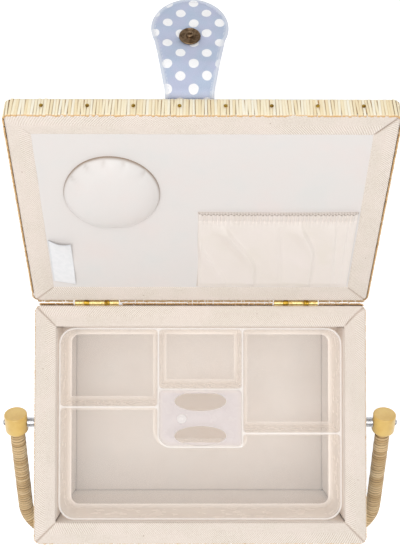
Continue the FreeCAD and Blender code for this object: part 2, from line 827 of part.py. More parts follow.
def make_lid_edge():
    """The wicker band round the lid's edge."""
    pieces = []
    for side in SIDES:
        low = LID_FACE + size("lid_lining_rise") / 2
        if side == "back":
            low = low + size("hinge_side_drop")
        strip = frame_side(f"lid_wicker_{side}", side, (BORDER_X, BORDER_Y), (HALF_WIDTH, HALF_DEPTH),
                           low, LID_FACE + size("lid_thickness"))
        if side == "front":
            strip = cut("lid_wicker_front_drilled", strip, nail_holes("edge_nail_hole"))
        pieces.append(strip)
    keep("lid_wicker_edge", group("lid_wicker_edge", pieces), LID_OPEN)


def make_edge_nails():
    """Small round-headed nails along the lid's front edge."""
    face = -1 * BORDER_Y - size("nail_head_height")
    heads = nail_tools("edge_nail_head", size("nail_head"), face, size("nail_head_height"))
    shanks = nail_tools("edge_nail_shank", size("nail_shank"), face, size("nail_length"))
    pairs = [fuse(f"edge_nail_{i}", pair) for i, pair in enumerate(zip(heads, shanks))]
    keep("edge_nails", group("edge_nails", pairs), LID_OPEN)


def make_lid_tapes():
    for side in SIDES:
        name = f"lid_tape_{side}"
        keep(name, frame_side(name, side, (HALF_WIDTH, HALF_DEPTH), (ROOM_X, ROOM_Y), LID_FACE, RAIL_FACE),
             LID_OPEN)


def make_pincushion():
    """A round cushion on the lid's lining: a cap of a sphere over a short straight edge."""
    radius, height = size("pincushion_radius"), size("pincushion_height")
    ball = float(radius) ** 2 / (2 * float(height)) + float(height) / 2
    sphere = doc.addObject("Part::Sphere", "pincushion_ball")
    rule = f"(({radius.rule}) ^ 2 / (2 * {height.rule}) + {height.rule} / 2)"
    bound_ball = Size(ball, rule)
    bind(sphere, Radius=bound_ball)
    x, y = size("pincushion_x"), from_hinge(size("pincushion_from_hinge"))
    place(sphere, (x, y, LINING_FACE - height + bound_ball))
    column = rod("pincushion_column", (x, y, LINING_FACE - height), radius, height)
    common = doc.addObject("Part::Common", "pincushion")
    common.Base = sphere
    common.Tool = column
    keep("pincushion", common, LID_OPEN)


def make_pocket():
    """A flat cloth pocket on the lining, open along its far edge, with elastic round the mouth."""
    low_x, high_x = size("pocket_left"), size("pocket_right")
    far, near = from_hinge(size("pocket_far")), from_hinge(size("pocket_near"))
    cloth = size("pocket_cloth")
    outer = block("pocket_outer", (low_x, far, LINING_FACE - size("pocket_depth")),
                  (high_x, near, LINING_FACE))
    room = block("pocket_room", (low_x + cloth, far - PAST, LINING_FACE - size("pocket_depth") + cloth),
                 (high_x - cloth, near - cloth, LINING_FACE + PAST))
    keep("pocket", cut("pocket", outer, [room]), LID_OPEN)
    top = LINING_FACE - size("pocket_depth")
    elastic = block("pocket_elastic", (low_x, far, top - size("elastic_thickness")),
                    (high_x, far + size("elastic_width"), top))
    keep("pocket_elastic", elastic, LID_OPEN)


def make_label():
    """A small blank woven label sewn to the lining."""
    low = LINING_FACE - size("label_thickness")
    label = block("label", (size("label_left"), from_hinge(size("label_far")), low),
                  (size("label_right"), from_hinge(size("label_near")), LINING_FACE))
    keep("label", label, LID_OPEN)


# ---------------------------------------------------------------- closing tab and snap

def make_tab():
    """The cloth tab in three lengths: sewn to the lid, its root, and its round tip."""
    x, half, half_neck = size("tab_x"), size("tab_base_width") / 2, size("tab_neck_width") / 2
    share = DRIVING["tab_curl_place"] / DRIVING["tab_round_place"]
    half_at_curl = half + (half_neck - half) * share
    anchor_front = FOLD_Y + size("tab_anchor_gap")
    anchor_back, anchor_top = anchor_front + size("tab_anchor_length"), LID_TOP + size("tab_anchor_thickness")
    anchor = block("tab_anchor", (x - half, anchor_front, LID_TOP), (x + half, anchor_back, anchor_top))
    keep("tab_anchor", anchor, LID_OPEN)
    root_start, root_end = FOLD_Y - size("tab_fold_gap"), CURL_Y + size("tab_curl_gap")
    root = slab("tab_root", [(x - half_at_curl, root_end), (x + half_at_curl, root_end),
                             (x + half, root_start), (x - half, root_start)], TAB_UNDER, TAB_OVER)
    keep("tab_root", root, TAB_BENT)
    tip_start = CURL_Y - size("tab_curl_gap")
    tip = slab("tab_tip_neck", [(x - half_neck, ROUND_Y), (x + half_neck, ROUND_Y),
                                (x + half_at_curl, tip_start), (x - half_at_curl, tip_start)],
               TAB_UNDER, TAB_OVER)
    end = new_sketch(tip, "tab_tip_end", TAB_UNDER)
    circle(end, x, ROUND_Y, size("tab_round"))
    extrude(tip, "Pad", end, size("tab_thickness"))
    recess = rod("tab_washer_recess", (x, SNAP_Y, TAB_OVER - size("washer_thickness")),
                 size("washer_radius") + size("fit_gap"), size("washer_thickness") + PAST)
    keep("tab_tip", cut("tab_tip", tip, [recess]), TAB_CURLED)
    washer = rod("snap_washer", (x, SNAP_Y, TAB_OVER - size("washer_thickness")), size("washer_radius"),
                 size("washer_thickness"))
    keep("snap_washer", washer, TAB_CURLED)


def make_snap():
    """The snap's stud half on the tab, and its socket half and magnet in the front wall."""
    x = size("tab_x")
    disc = rod("snap_disc", (x, SNAP_Y, TAB_UNDER - size("snap_disc")), size("snap_radius"), size("snap_disc"))
    stud = rod("snap_stud_post", (x, SNAP_Y, TAB_UNDER - size("snap_disc") - size("stud_length")),
               size("stud_radius"), size("stud_length") + size("snap_disc") / 2)
    keep("snap_stud", fuse("snap_stud", [disc, stud]), TAB_CURLED)

    bore = size("stud_radius") + size("stud_clearance")
    face = -1 * size("socket_flange")
    depth = size("socket_depth") + size("cover_thickness")
    profile = [(bore, face), (size("socket_radius"), face), (size("socket_radius"), 0),
               (size("socket_barrel"), 0), (size("socket_barrel"), depth), (0, depth),
               (0, size("socket_bore_depth")), (bore, size("socket_bore_depth"))]
    socket = turned("snap_socket", profile)
    place(socket, (x, -1 * HALF_DEPTH, SNAP_Z))
    keep("snap_socket", socket)
    magnet = rod("snap_magnet", (x, -1 * HALF_DEPTH + depth, SNAP_Z), size("magnet_radius"),
                 size("magnet_thickness"), ALONG_BACK)
    keep("snap_magnet", magnet)


# ---------------------------------------------------------------- tray

def make_tray():
    """The moulded tray: drafted compartments round a grip plate with two finger holes."""
    half_x, half_y = size("tray_width") / 2, size("tray_depth") / 2
    wall, web = size("tray_wall"), size("tray_wall") / 2
    in_x, in_y = half_x - wall, half_y - wall
    grip, grip_front, grip_back = size("grip_half_width"), size("grip_front"), size("grip_back")
    left_y, right_y = size("left_divider"), size("right_divider")
    draft = size("tray_draft")
    body = new_body("tray")

    outline = new_sketch(body, "tray_outline", TRAY_TOP)
    rounded(outline, rectangle((-1 * half_x, -1 * half_y), (half_x, half_y)), size("tray_corner"))
    extrude(body, "Pad", outline, size("tray_height"), down=True, draft=-1 * draft)

    small, large = size("tray_pocket_corner"), size("tray_corner") - wall
    grip_round = size("grip_corner")
    compartments = {
        "back_left": (rectangle((-1 * in_x, left_y + web), (-1 * grip - web, in_y)),
                      [small, small, small, large]),
        "back_centre": (rectangle((-1 * grip + web, grip_back + web), (grip - web, in_y)), small),
        "back_right": (rectangle((grip + web, right_y + web), (in_x, in_y)),
                       [small, small, large, small]),
        "front": ([(-1 * in_x, -1 * in_y), (in_x, -1 * in_y), (in_x, right_y - web),
                   (grip + web, right_y - web), (grip + web, grip_front - web),
                   (-1 * grip - web, grip_front - web), (-1 * grip - web, left_y - web),
                   (-1 * in_x, left_y - web)],
                  [large, large, small, small, small, grip_round, small, small]),
    }
    for name, (corners, radii) in compartments.items():
        room = new_sketch(body, f"tray_{name}", TRAY_TOP)
        rounded(room, corners, radii)
        extrude(body, "Pocket", room, size("tray_height") - wall, draft=-1 * draft)

    inset = wall + web
    recess = new_sketch(body, "tray_grip_recess", TRAY_TOP)
    rounded(recess, rectangle((-1 * grip + web, grip_front + web), (grip - web, grip_back - web)),
            [grip_round - wall, small, small, small])
    extrude(body, "Pocket", recess, size("grip_recess"))

    under = new_sketch(body, "tray_grip_room", TRAY_BOTTOM)
    side = inset + size("tray_wall")
    rounded(under, rectangle((-1 * grip + side, grip_front + side), (grip - side, grip_back - side)),
            [grip_round - side, small, small, small])
    room_height = size("tray_height") - size("grip_recess") - size("grip_plate")
    extrude(body, "Pocket", under, room_height, down=True)

    plate_top = TRAY_TOP - size("grip_recess")
    for name, middle in (("back", size("finger_back")), ("front", size("finger_front"))):
        hole = new_sketch(body, f"tray_finger_{name}", plate_top)
        low = (-1 * size("finger_half_length"), middle - size("finger_half_width"))
        high = (size("finger_half_length"), middle + size("finger_half_width"))
        rounded(hole, rectangle(low, high), size("finger_corner"))
        extrude(body, "Pocket", hole, size("grip_plate") + PAST)

    boss = new_sketch(body, "tray_boss", plate_top)
    circle(boss, size("boss_offset"), size("boss_place"), size("boss_radius"))
    extrude(body, "Pad", boss, size("boss_height"))
    keep("tray", body)


# ---------------------------------------------------------------- handle

def u_bar(name, radius, start):
    """A round bar bent to a U: two arms along -Y from their start, two bends and the crown."""
    bend, length, offset = size("handle_bend"), size("handle_length"), size("arm_offset")
    bar = []
    for hand, sign, quarter in (("left", -1, 180), ("right", 1, 270)):
        bar.append(rod(f"{name}_{hand}_arm", (sign * offset, -1 * as_size(start), 0), radius,
                       length - bend - start, ALONG_FRONT))
        ring = doc.addObject("Part::Torus", f"{name}_{hand}_bend")
        bind(ring, Radius1=bend, Radius2=radius)
        ring.Angle3 = 90
        place(ring, (sign * (offset - bend), -1 * (length - bend), 0), Rotation(Z_AXIS, quarter))
        bar.append(ring)
    bar.append(rod(f"{name}_crown", (-1 * (offset - bend), -1 * length, 0), radius,
                   2 * (offset - bend), ALONG_X))
    return fuse(name, bar)


def make_handle():
    """The cane, its wrapping, and the end caps that turn on the pivot bolts."""
    rest = Placement(Vector(0, 0, float(PIVOT_Z)), Rotation(X_AXIS, DRIVING["handle_droop"]))
    hole_start = -1 * size("arm_offset") - size("cap_radius") - PAST
    across = 2 * (size("arm_offset") + size("cap_radius") + PAST)
    cane = u_bar("handle_cane_bar", size("cane_radius"), -1 * size("cane_end"))
    hole = rod("cane_pivot_hole", (hole_start, 0, 0), size("bolt_hole"), across, ALONG_X)
    keep("handle_cane", cut("handle_cane", cane, [hole]), rest)
    outer = u_bar("handle_wrap_bar", size("wrap_radius"), size("wrap_start"))
    bore = u_bar("handle_wrap_bore", size("cane_radius") + size("fit_gap"), size("wrap_start") - PAST)
    keep("handle_wrap", cut("handle_wrap", outer, [bore]), rest)
    fit = size("cane_radius") + size("fit_gap")
    edge, radius = size("cap_edge"), size("cap_radius")
    for hand, sign in (("left", -1), ("right", 1)):
        name = f"handle_cap_{hand}"
        profile = [(0, size("cane_end") + size("fit_gap")), (fit, size("cane_end") + size("fit_gap")),
                   (fit, -1 * size("cap_front")), (radius - edge, -1 * size("cap_front")),
                   (radius, -1 * size("cap_front") + edge), (radius, size("cap_back") - edge),
                   (radius - edge, size("cap_back")), (0, size("cap_back"))]
        blank = turned(name + "_blank", profile)
        place(blank, (sign * size("arm_offset"), 0, 0))
        hole = rod(name + "_hole", (hole_start, 0, 0), size("bolt_hole"), across, ALONG_X)
        keep(name, cut(name, blank, [hole]), rest)


def make_pivots():
    """The bolts that the handle turns on, with their spacers, washers and nuts."""
    cap_out = size("arm_offset") + size("cap_radius") + size("fit_gap") / 2
    tail = PANEL_IN_X - size("bolt_tail")
    washer_in = PANEL_IN_X - size("nut_washer_height")
    nut_in = washer_in - size("nut_height")
    bolts, spacers, washers, nuts = [], [], [], []
    for hand, sign in (("left", -1), ("right", 1)):
        span = (sign,)
        shaft = pivot_holes(f"pivot_shaft_{hand}", size("bolt_radius"), tail,
                            cap_out + size("bolt_head_height") / 2, span)
        head = pivot_holes(f"pivot_head_{hand}", size("bolt_head_radius"), cap_out,
                           cap_out + size("bolt_head_height"), span)
        bolts.append(fuse(f"pivot_bolt_{hand}", shaft + head))
        sleeve = pivot_holes(f"pivot_sleeve_{hand}", size("spacer_radius"), BORDER_X,
                             size("arm_offset") - size("cap_radius") - size("fit_gap"), span)
        bore = pivot_holes(f"pivot_sleeve_bore_{hand}", size("bolt_hole"), HALF_WIDTH,
                           size("arm_offset"), span)
        spacers.append(cut(f"pivot_spacer_{hand}", sleeve[0], bore))
        disc = pivot_holes(f"pivot_washer_{hand}", size("nut_washer_radius"), washer_in, PANEL_IN_X, span)
        bore = pivot_holes(f"pivot_washer_bore_{hand}", size("bolt_hole"), washer_in - PAST,
                           PANEL_IN_X + PAST, span)
        washers.append(cut(f"pivot_washer_ring_{hand}", disc[0], bore))
        nut = doc.addObject("Part::Prism", f"pivot_nut_{hand}")
        nut.Polygon = 6
        bind(nut, Circumradius=size("nut_radius"), Height=size("nut_height"))
        place(nut, (nut_in if sign > 0 else -1 * washer_in, 0, PIVOT_Z), ALONG_X)
        bore = pivot_holes(f"pivot_nut_bore_{hand}", size("bolt_hole"), nut_in - PAST, washer_in + PAST,
                           span)
        nuts.append(cut(f"pivot_nut_drilled_{hand}", nut, bore))
    for name, pieces in (("pivot_bolts", bolts), ("pivot_spacers", spacers),
                         ("pivot_washers", washers), ("pivot_nuts", nuts)):
        keep(name, group(name, pieces))


# ---------------------------------------------------------------- build, check and write

def make_all():
    for make in (make_base, make_panels, make_linings, make_outer_cover, make_borders, make_rim_tapes,
                 make_ledges, make_hinges, make_rails, make_lid_layers, make_lid_cover, make_lid_edge,
                 make_edge_nails, make_lid_tapes, make_pincushion, make_pocket, make_label, make_tab,
                 make_snap, make_tray, make_handle, make_pivots):
        make()
    doc.recompute()


def check_all():
    """Stop if any object failed to compute, or a piece isn't a valid solid."""
    failed = [item.Name for item in doc.Objects if {"Invalid", "Error"} & set(item.State)]
    if failed:
        raise RuntimeError(f"not computed: {failed}")
    for name, thing in nodes.items():
        shape = thing.Shape
        if shape.isNull() or not shape.isValid() or not shape.Solids:
            raise RuntimeError(f"{name} has no valid shape")


def write_all():
    os.makedirs("parts", exist_ok=True)
    for name, thing in nodes.items():
        thing.Shape.exportStep(f"parts/{name}.step")
    print(f"{len(nodes)} parts written")


make_all()
check_all()
write_all()
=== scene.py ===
"""Sewing box: the looks of the padded basket, its open lid, the closing tab, the handle and the tray.

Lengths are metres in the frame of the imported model. MM turns millimetres into metres.
"""

import json
import math

import bmesh
import bpy
import numpy as np
from mathutils import Matrix, Vector


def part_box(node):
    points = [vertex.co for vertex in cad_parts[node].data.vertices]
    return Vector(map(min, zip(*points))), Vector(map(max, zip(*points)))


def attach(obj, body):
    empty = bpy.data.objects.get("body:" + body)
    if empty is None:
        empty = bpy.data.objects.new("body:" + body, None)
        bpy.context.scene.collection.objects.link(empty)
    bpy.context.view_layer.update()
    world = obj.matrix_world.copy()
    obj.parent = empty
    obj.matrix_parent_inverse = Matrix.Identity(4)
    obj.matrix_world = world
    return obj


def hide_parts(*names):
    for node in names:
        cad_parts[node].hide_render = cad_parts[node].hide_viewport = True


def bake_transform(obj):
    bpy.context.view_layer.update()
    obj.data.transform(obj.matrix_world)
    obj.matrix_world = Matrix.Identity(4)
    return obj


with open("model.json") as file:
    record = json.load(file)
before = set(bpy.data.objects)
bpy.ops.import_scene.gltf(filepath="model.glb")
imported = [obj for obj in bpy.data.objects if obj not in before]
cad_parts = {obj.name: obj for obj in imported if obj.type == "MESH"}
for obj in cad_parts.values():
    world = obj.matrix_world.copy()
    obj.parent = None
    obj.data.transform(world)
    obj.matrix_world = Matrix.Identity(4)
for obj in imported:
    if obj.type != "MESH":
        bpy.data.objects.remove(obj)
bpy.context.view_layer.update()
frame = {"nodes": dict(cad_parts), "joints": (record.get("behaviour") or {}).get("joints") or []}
MM = 0.001
SWELL_STEPS = 20
X_AXIS, Y_AXIS, Z_AXIS = "X", "Y", "Z"


# ---------------------------------------------------------------- places, all from the frame

def joint(name):
    return next(found for found in frame["joints"] if found["name"] == name)


def turned_about(place, axis, degrees):
    """A rotation about a line through a point."""
    out = Matrix.Translation(Vector(place))
    return out @ Matrix.Rotation(math.radians(degrees), 4, axis) @ out.inverted()


def box_in(node, placement):
    """A node's lowest and highest corners in the coordinates that a placement carries into the frame."""
    back = placement.inverted()
    points = np.array([back @ v.co for v in frame["nodes"][node].data.vertices])
    return Vector(points.min(0)), Vector(points.max(0))


def middle(low, high):
    return (Vector(low) + Vector(high)) / 2


hinge = joint("lid_hinge")
LID = turned_about(hinge["pos_m"], Vector(hinge["axis"]), -hinge["range_deg"][0])

TAPE_LOW, TAPE_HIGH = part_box("rim_tape_front")
HALF_WIDTH, HALF_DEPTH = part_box("rim_tape_right")[1].x, -TAPE_LOW.y
ROOM_X, ROOM_Y = -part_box("rim_tape_left")[1].x, -TAPE_HIGH.y
WALL_TOP, RIM_TOP = TAPE_LOW.z, TAPE_HIGH.z
FLOOR_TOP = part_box("floor_pad")[1].z

LINING_LOW = box_in("lid_lining", LID)[0]
LID_TOP = box_in("lid_cover", LID)[1].z
LID_FACE = box_in("lid_tape_front", LID)[0].z
# x as in the frame, y from the hinged edge towards the lid's free edge, z out of the lining
INNER = LID @ Matrix.Translation((0, HALF_DEPTH, LINING_LOW.z)) @ Matrix.Rotation(math.pi, 4, X_AXIS)
# the same, with y from the middle of the lid
LID_RING = INNER @ Matrix.Translation((0, HALF_DEPTH, 0))

PIVOT = Vector(joint("handle_swing")["pos_m"])
CANE_LOW, CANE_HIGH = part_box("handle_wrap")
WRAP_RADIUS = 7.0 * MM
ARM_OFFSET = CANE_HIGH.x - WRAP_RADIUS
CROWN = Vector((0, CANE_LOW.y + WRAP_RADIUS, CANE_LOW.z + WRAP_RADIUS))
ARM_LENGTH = (CROWN - PIVOT).length
DROOP = math.degrees(math.atan2(PIVOT.z - CROWN.z, PIVOT.y - CROWN.y))
HANDLE = Matrix.Translation(PIVOT) @ Matrix.Rotation(math.radians(DROOP), 4, X_AXIS)

FOLD, CURL = Vector(joint("tab_fold")["pos_m"]), Vector(joint("tab_curl")["pos_m"])
TAB_END = middle(*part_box("tab_tip"))


# ---------------------------------------------------------------- mesh helpers

def quads_of(rows, columns, start=0):
    """The faces of a grid of points, as rows of four point numbers."""
    index = np.arange(rows * columns).reshape(rows, columns) + start
    corners = [index[:-1, :-1], index[:-1, 1:], index[1:, 1:], index[1:, :-1]]
    return np.stack(corners, -1).reshape(-1, 4)


def added(name, data, placement=None):
    """A new object in the scene, for a mesh, a light or a camera."""
    made = bpy.data.objects.new(name, data)
    bpy.context.scene.collection.objects.link(made)
    if placement is not None:
        made.matrix_world = placement
    return made


def store_marks_and_shade(mesh, values):
    """Stores how far each point carries a mark, an edge or painted shade, 0 to 1, for the materials to read.
    """
    mark_and_shade = mesh.attributes.new("marks_and_shade", "FLOAT", "POINT")
    mark_and_shade.data.foreach_set("value", np.asarray(values, dtype=np.float32))


def patches(name, grids, weld=2e-6, placement=None):
    """One smooth mesh made of grids. Each is its points, its surface coordinates in metres, and its marks and
    painted shade.

    Marks and painted shade are 0 to 1 and say where a surface is given painted shade, marked or edged. Points
    that coincide are welded.
    """
    points, coords, marks_and_shade, faces = [], [], [], []
    count = 0
    for grid in grids:
        places, surface, marks = (*grid, None)[:3]
        places = np.asarray(places, float)
        rows, columns = places.shape[:2]
        faces.append(quads_of(rows, columns, count))
        points.append(places.reshape(-1, 3))
        coords.append(np.asarray(surface, float).reshape(-1, 2))
        marks_and_shade.append(np.zeros(rows * columns) if marks is None else np.asarray(marks, float).ravel())
        count += rows * columns
    faces = np.concatenate(faces)
    mesh = bpy.data.meshes.new(name)
    mesh.from_pydata(np.concatenate(points).tolist(), [], faces.tolist())
    layer = mesh.uv_layers.new(name="metres")
    layer.data.foreach_set("uv", np.concatenate(coords)[faces.ravel()].ravel())
    store_marks_and_shade(mesh, np.concatenate(marks_and_shade))
    if weld:
        work = bmesh.new()
        work.from_mesh(mesh)
        bmesh.ops.remove_doubles(work, verts=work.verts, dist=weld)
        bmesh.ops.recalc_face_normals(work, faces=work.faces)
        work.to_mesh(mesh)
        work.free()
    mesh.shade_smooth()
    return added(name, mesh, placement)


def coordinates(u, v):
    """Surface coordinates from two arrays that broadcast together."""
    u, v = np.broadcast_arrays(u, v)
    return np.stack([u, v], -1)


def stacked(x, y, z):
    return np.stack(np.broadcast_arrays(x, y, z), -1)


def ripple(x, y, size, seed):
    """A smooth uneven height of about -1 to 1, from a few crossing waves of about the given length."""
    draw = np.random.default_rng(seed)
    total = 0.0
    for _ in range(7):
        angle, phase = draw.uniform(0, 2 * math.pi, 2)
        step = 2 * math.pi / (size * draw.uniform(0.6, 1.7))
        total = total + np.sin((x * math.cos(angle) + y * math.sin(angle)) * step + phase)
    return total / 3.5


def smooth_step(value, low, high):
    share = np.clip((value - low) / (high - low), 0, 1)
    return share * share * (3 - 2 * share)


def bell(value, width):
    return np.exp(-((value / width) ** 2))


def lathe(profile, segments=48, across=Z_AXIS):
    """A grid turned about the Z axis, or about X or Y, from (radius, height) points."""
    angle = np.linspace(0, 2 * math.pi, segments + 1)[None, :]
    radius, height = np.array(profile, float).T[:, :, None]
    along = np.concatenate([[0], np.cumsum(np.hypot(*np.diff(np.array(profile, float), axis=0).T))])
    points = stacked(radius * np.cos(angle), radius * np.sin(angle), height + 0 * angle)
    if across == X_AXIS:
        points = points[..., [2, 0, 1]]
    if across == Y_AXIS:
        points = points[..., [1, 2, 0]]
    return points, coordinates(angle * radius.max(), along[:, None])


def rounded_profile(corners, steps=4):
    """A lathe profile from (radius, height, rounding) corners in millimetres, each rounded by a curve."""
    points = []
    for i, (radius, height, rounding) in enumerate(corners):
        here = Vector((radius, height))
        if rounding == 0 or i in (0, len(corners) - 1):
            points.append(tuple(here * MM))
            continue
        before = (Vector(corners[i - 1][:2]) - here).normalized() * rounding
        after = (Vector(corners[i + 1][:2]) - here).normalized() * rounding
        for k in range(steps + 1):
            t = k / steps
            points.append(tuple((here + before * (1 - t) ** 2 + after * t ** 2) * MM))
    return points


def box_coordinates(mesh):
    """Surface coordinates on a closed form, laid flat along each face's nearest axis."""
    layer = mesh.uv_layers.get("metres") or mesh.uv_layers.new(name="metres")
    for face in mesh.polygons:
        normal = [abs(part) for part in face.normal]
        drop = normal.index(max(normal))
        keep = [axis for axis in range(3) if axis != drop]
        for corner in face.loop_indices:
            place = mesh.vertices[mesh.loops[corner].vertex_index].co
            layer.data[corner].uv = (place[keep[0]], place[keep[1]])


def rounded_block(name, low, high, edge, swell, cuts=26, placement=None):
    """A closed pad with round edges.

    swell gets each point's share of the way to every face, -1 to 1, and its place, and gives how far the
    points move, as three arrays.
    """
    work = bmesh.new()
    bmesh.ops.create_cube(work, size=2)
    bmesh.ops.subdivide_edges(work, edges=work.edges, cuts=cuts, use_grid_fill=True)
    mesh = bpy.data.meshes.new(name)
    work.to_mesh(mesh)
    work.free()
    count = len(mesh.vertices)
    spread = np.empty(count * 3)
    mesh.vertices.foreach_get("co", spread)
    spread = np.sin(spread.reshape(-1, 3) * math.pi / 2)
    half = (np.array(high) - np.array(low)) / 2
    rounding = np.minimum(edge, half)
    points = spread * half
    core = np.clip(points, -(half - rounding), half - rounding)
    out = (points - core) / rounding
    length = np.linalg.norm(out, axis=1, keepdims=True)
    reach = np.abs(out).max(1, keepdims=True)
    points = core + np.where(length > 1e-9, out / np.maximum(length, 1e-9) * reach, 0) * rounding
    points = points + np.stack(swell(*spread.T, *points.T), -1)
    points += (np.array(high) + np.array(low)) / 2
    mesh.vertices.foreach_set("co", points.ravel())
    mesh.update()
    box_coordinates(mesh)
    mesh.shade_smooth()
    return added(name, mesh, placement)


def points_of(piece):
    points = np.empty(len(piece.data.vertices) * 3)
    piece.data.vertices.foreach_get("co", points)
    return points.reshape(-1, 3)


def place_points(piece, points):
    piece.data.vertices.foreach_set("co", np.asarray(points).ravel())
    piece.data.update()


def plump(piece, hold, pressure, reach):
    """Swells a closed form by cloth simulation. Points with a hold of 1 stay, and none moves beyond reach."""
    start = points_of(piece)
    group = piece.vertex_groups.new(name="held")
    for index, weight in enumerate(np.clip(hold, 0, 1)):
        group.add([index], float(weight), "REPLACE")
    cloth = piece.modifiers.new("swelling", "CLOTH")
    cloth.settings.use_pressure = True
    cloth.settings.uniform_pressure_force = pressure
    cloth.settings.vertex_group_mass = group.name
    cloth.settings.effector_weights.gravity = 0
    cloth.point_cache.frame_end = SWELL_STEPS
    scene = bpy.context.scene
    for step in range(1, SWELL_STEPS + 1):
        scene.frame_set(step)
    swollen = piece.evaluated_get(bpy.context.evaluated_depsgraph_get()).data
    end = np.empty(start.size)
    swollen.vertices.foreach_get("co", end)
    piece.modifiers.remove(cloth)
    piece.vertex_groups.remove(group)
    scene.frame_set(1)
    move = end.reshape(-1, 3) - start
    length = np.linalg.norm(move, axis=1, keepdims=True)
    place_points(piece, start + move * np.minimum(1, reach / np.maximum(length, 1e-9)))


def dress(piece, body, look, slot, *replaced):
    """Gives a piece its material, its body, and the nodes that it stands for. The slot is not used."""
    for material in look if isinstance(look, (list, tuple)) else [look]:
        piece.data.materials.append(material)
    if body:
        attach(piece, body)
    if replaced:
        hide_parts(*replaced)
    return piece


# ---------------------------------------------------------------- materials

def colour(red, green, blue):
    """A linear colour from eight-bit display values."""
    def linear(value):
        share = value / 255
        return share / 12.92 if share <= 0.04045 else ((share + 0.055) / 1.055) ** 2.4
    return (linear(red), linear(green), linear(blue), 1.0)


class Look:
    """A material, with short calls for the nodes that colour and roughen it."""

    def __init__(self, name, base, roughness, **settings):
        self.material = bpy.data.materials.new(name)
        self.material.use_nodes = True
        self.tree = self.material.node_tree
        self.shader = self.tree.nodes["Principled BSDF"]
        self.set("Base Color", colour(*base))
        self.set("Roughness", roughness)
        for key, value in settings.items():
            self.set(key.replace("_", " ").title().replace("Ior", "IOR"), value)

    def set(self, socket, value):
        self.join(self.shader.inputs[socket], value)

    def join(self, socket, value):
        if isinstance(value, bpy.types.NodeSocket):
            self.tree.links.new(value, socket)
        elif value is not None:
            socket.default_value = value

    def node(self, kind, *values, **settings):
        made = self.tree.nodes.new("ShaderNode" + kind)
        for key, value in settings.items():
            setattr(made, key, value)
        for socket, value in zip(made.inputs, values):
            self.join(socket, value)
        return made

    def maths(self, operation, *values):
        return self.node("Math", *values, operation=operation).outputs[0]

    def surface(self):
        return self.node("UVMap", uv_map="metres").outputs[0]

    def place(self):
        return self.node("TexCoord").outputs["Object"]

    def parts(self, vector):
        return self.node("SeparateXYZ", vector).outputs

    def stretch(self, vector, x, y, z=1.0):
        return self.node("VectorMath", vector, (x, y, z), operation="MULTIPLY").outputs[0]

    def noise(self, size, detail=2.0, vector=None):
        """Noise whose blotches are about the given size, in metres."""
        made = self.node("TexNoise", vector or self.place())
        made.inputs["Scale"].default_value = 1 / size
        made.inputs["Detail"].default_value = detail
        return made.outputs[0]

    def band(self, value, low, high, start=0.0, end=1.0):
        """A smooth change from start to end while the value goes from low to high."""
        made = self.node("MapRange", value, low, high, start, end, interpolation_type="SMOOTHSTEP")
        return made.outputs[0]

    def mix(self, share, first, second):
        """A mix of two colours, each from a node or as display values."""
        made = self.node("Mix", data_type="RGBA")
        self.join(made.inputs[0], share)
        for socket, shade in ((made.inputs[6], first), (made.inputs[7], second)):
            self.join(socket, colour(*shade) if isinstance(shade, tuple) else shade)
        return made.outputs[2]

    def wave(self, value, length):
        """A sine of the given wavelength, from -1 to 1."""
        return self.maths("SINE", self.maths("MULTIPLY", value, 2 * math.pi / length))

    # the stored marks and painted shade of each point
    def marks_and_shade(self):
        return self.node("Attribute", attribute_name="marks_and_shade").outputs["Fac"]

    def blend(self, value, low, high, first, second):
        """The base colour changes from first to second while the value goes from low to high."""
        self.set("Base Color", self.mix(self.band(value, low, high), first, second))

    def bump(self, height, depth, strength=1.0, under=None):
        made = self.node("Bump")
        self.join(made.inputs["Strength"], strength)
        self.join(made.inputs["Distance"], depth)
        self.join(made.inputs["Height"], height)
        self.join(made.inputs["Normal"], under)
        return made.outputs[0]


def cloth_weave(look, pitch):
    """The crossing threads of a plain weave, from -1 to 1."""
    x, y = look.parts(look.surface())[:2]
    return look.maths("MULTIPLY", look.wave(x, pitch), look.wave(y, pitch))


def satin_look(name, base, warm, cool, mark_and_shade):
    look = Look(name, base, 0.5, sheen_weight=0.25, sheen_roughness=0.4)
    blotch = look.noise(38 * MM, 3)
    tinted = look.mix(look.band(blotch, 0.5, 0.72, 0, 0.5), base, warm)
    tinted = look.mix(look.band(blotch, 0.28, 0.5, 0.5, 0), tinted, cool)
    # darker towards the stored marks: seams and stitches, and painted shade at joins, tucks and the pocket's
    # mouth
    look.set("Base Color", look.mix(look.marks_and_shade(), tinted, mark_and_shade))
    look.set("Roughness", look.band(look.noise(9 * MM), 0.3, 0.7, 0.42, 0.58))
    creases = look.bump(look.noise(21 * MM, 4), 0.8 * MM, 0.22)
    look.set("Normal", look.bump(cloth_weave(look, 0.55 * MM), 0.03 * MM, 0.5, creases))
    return look.material


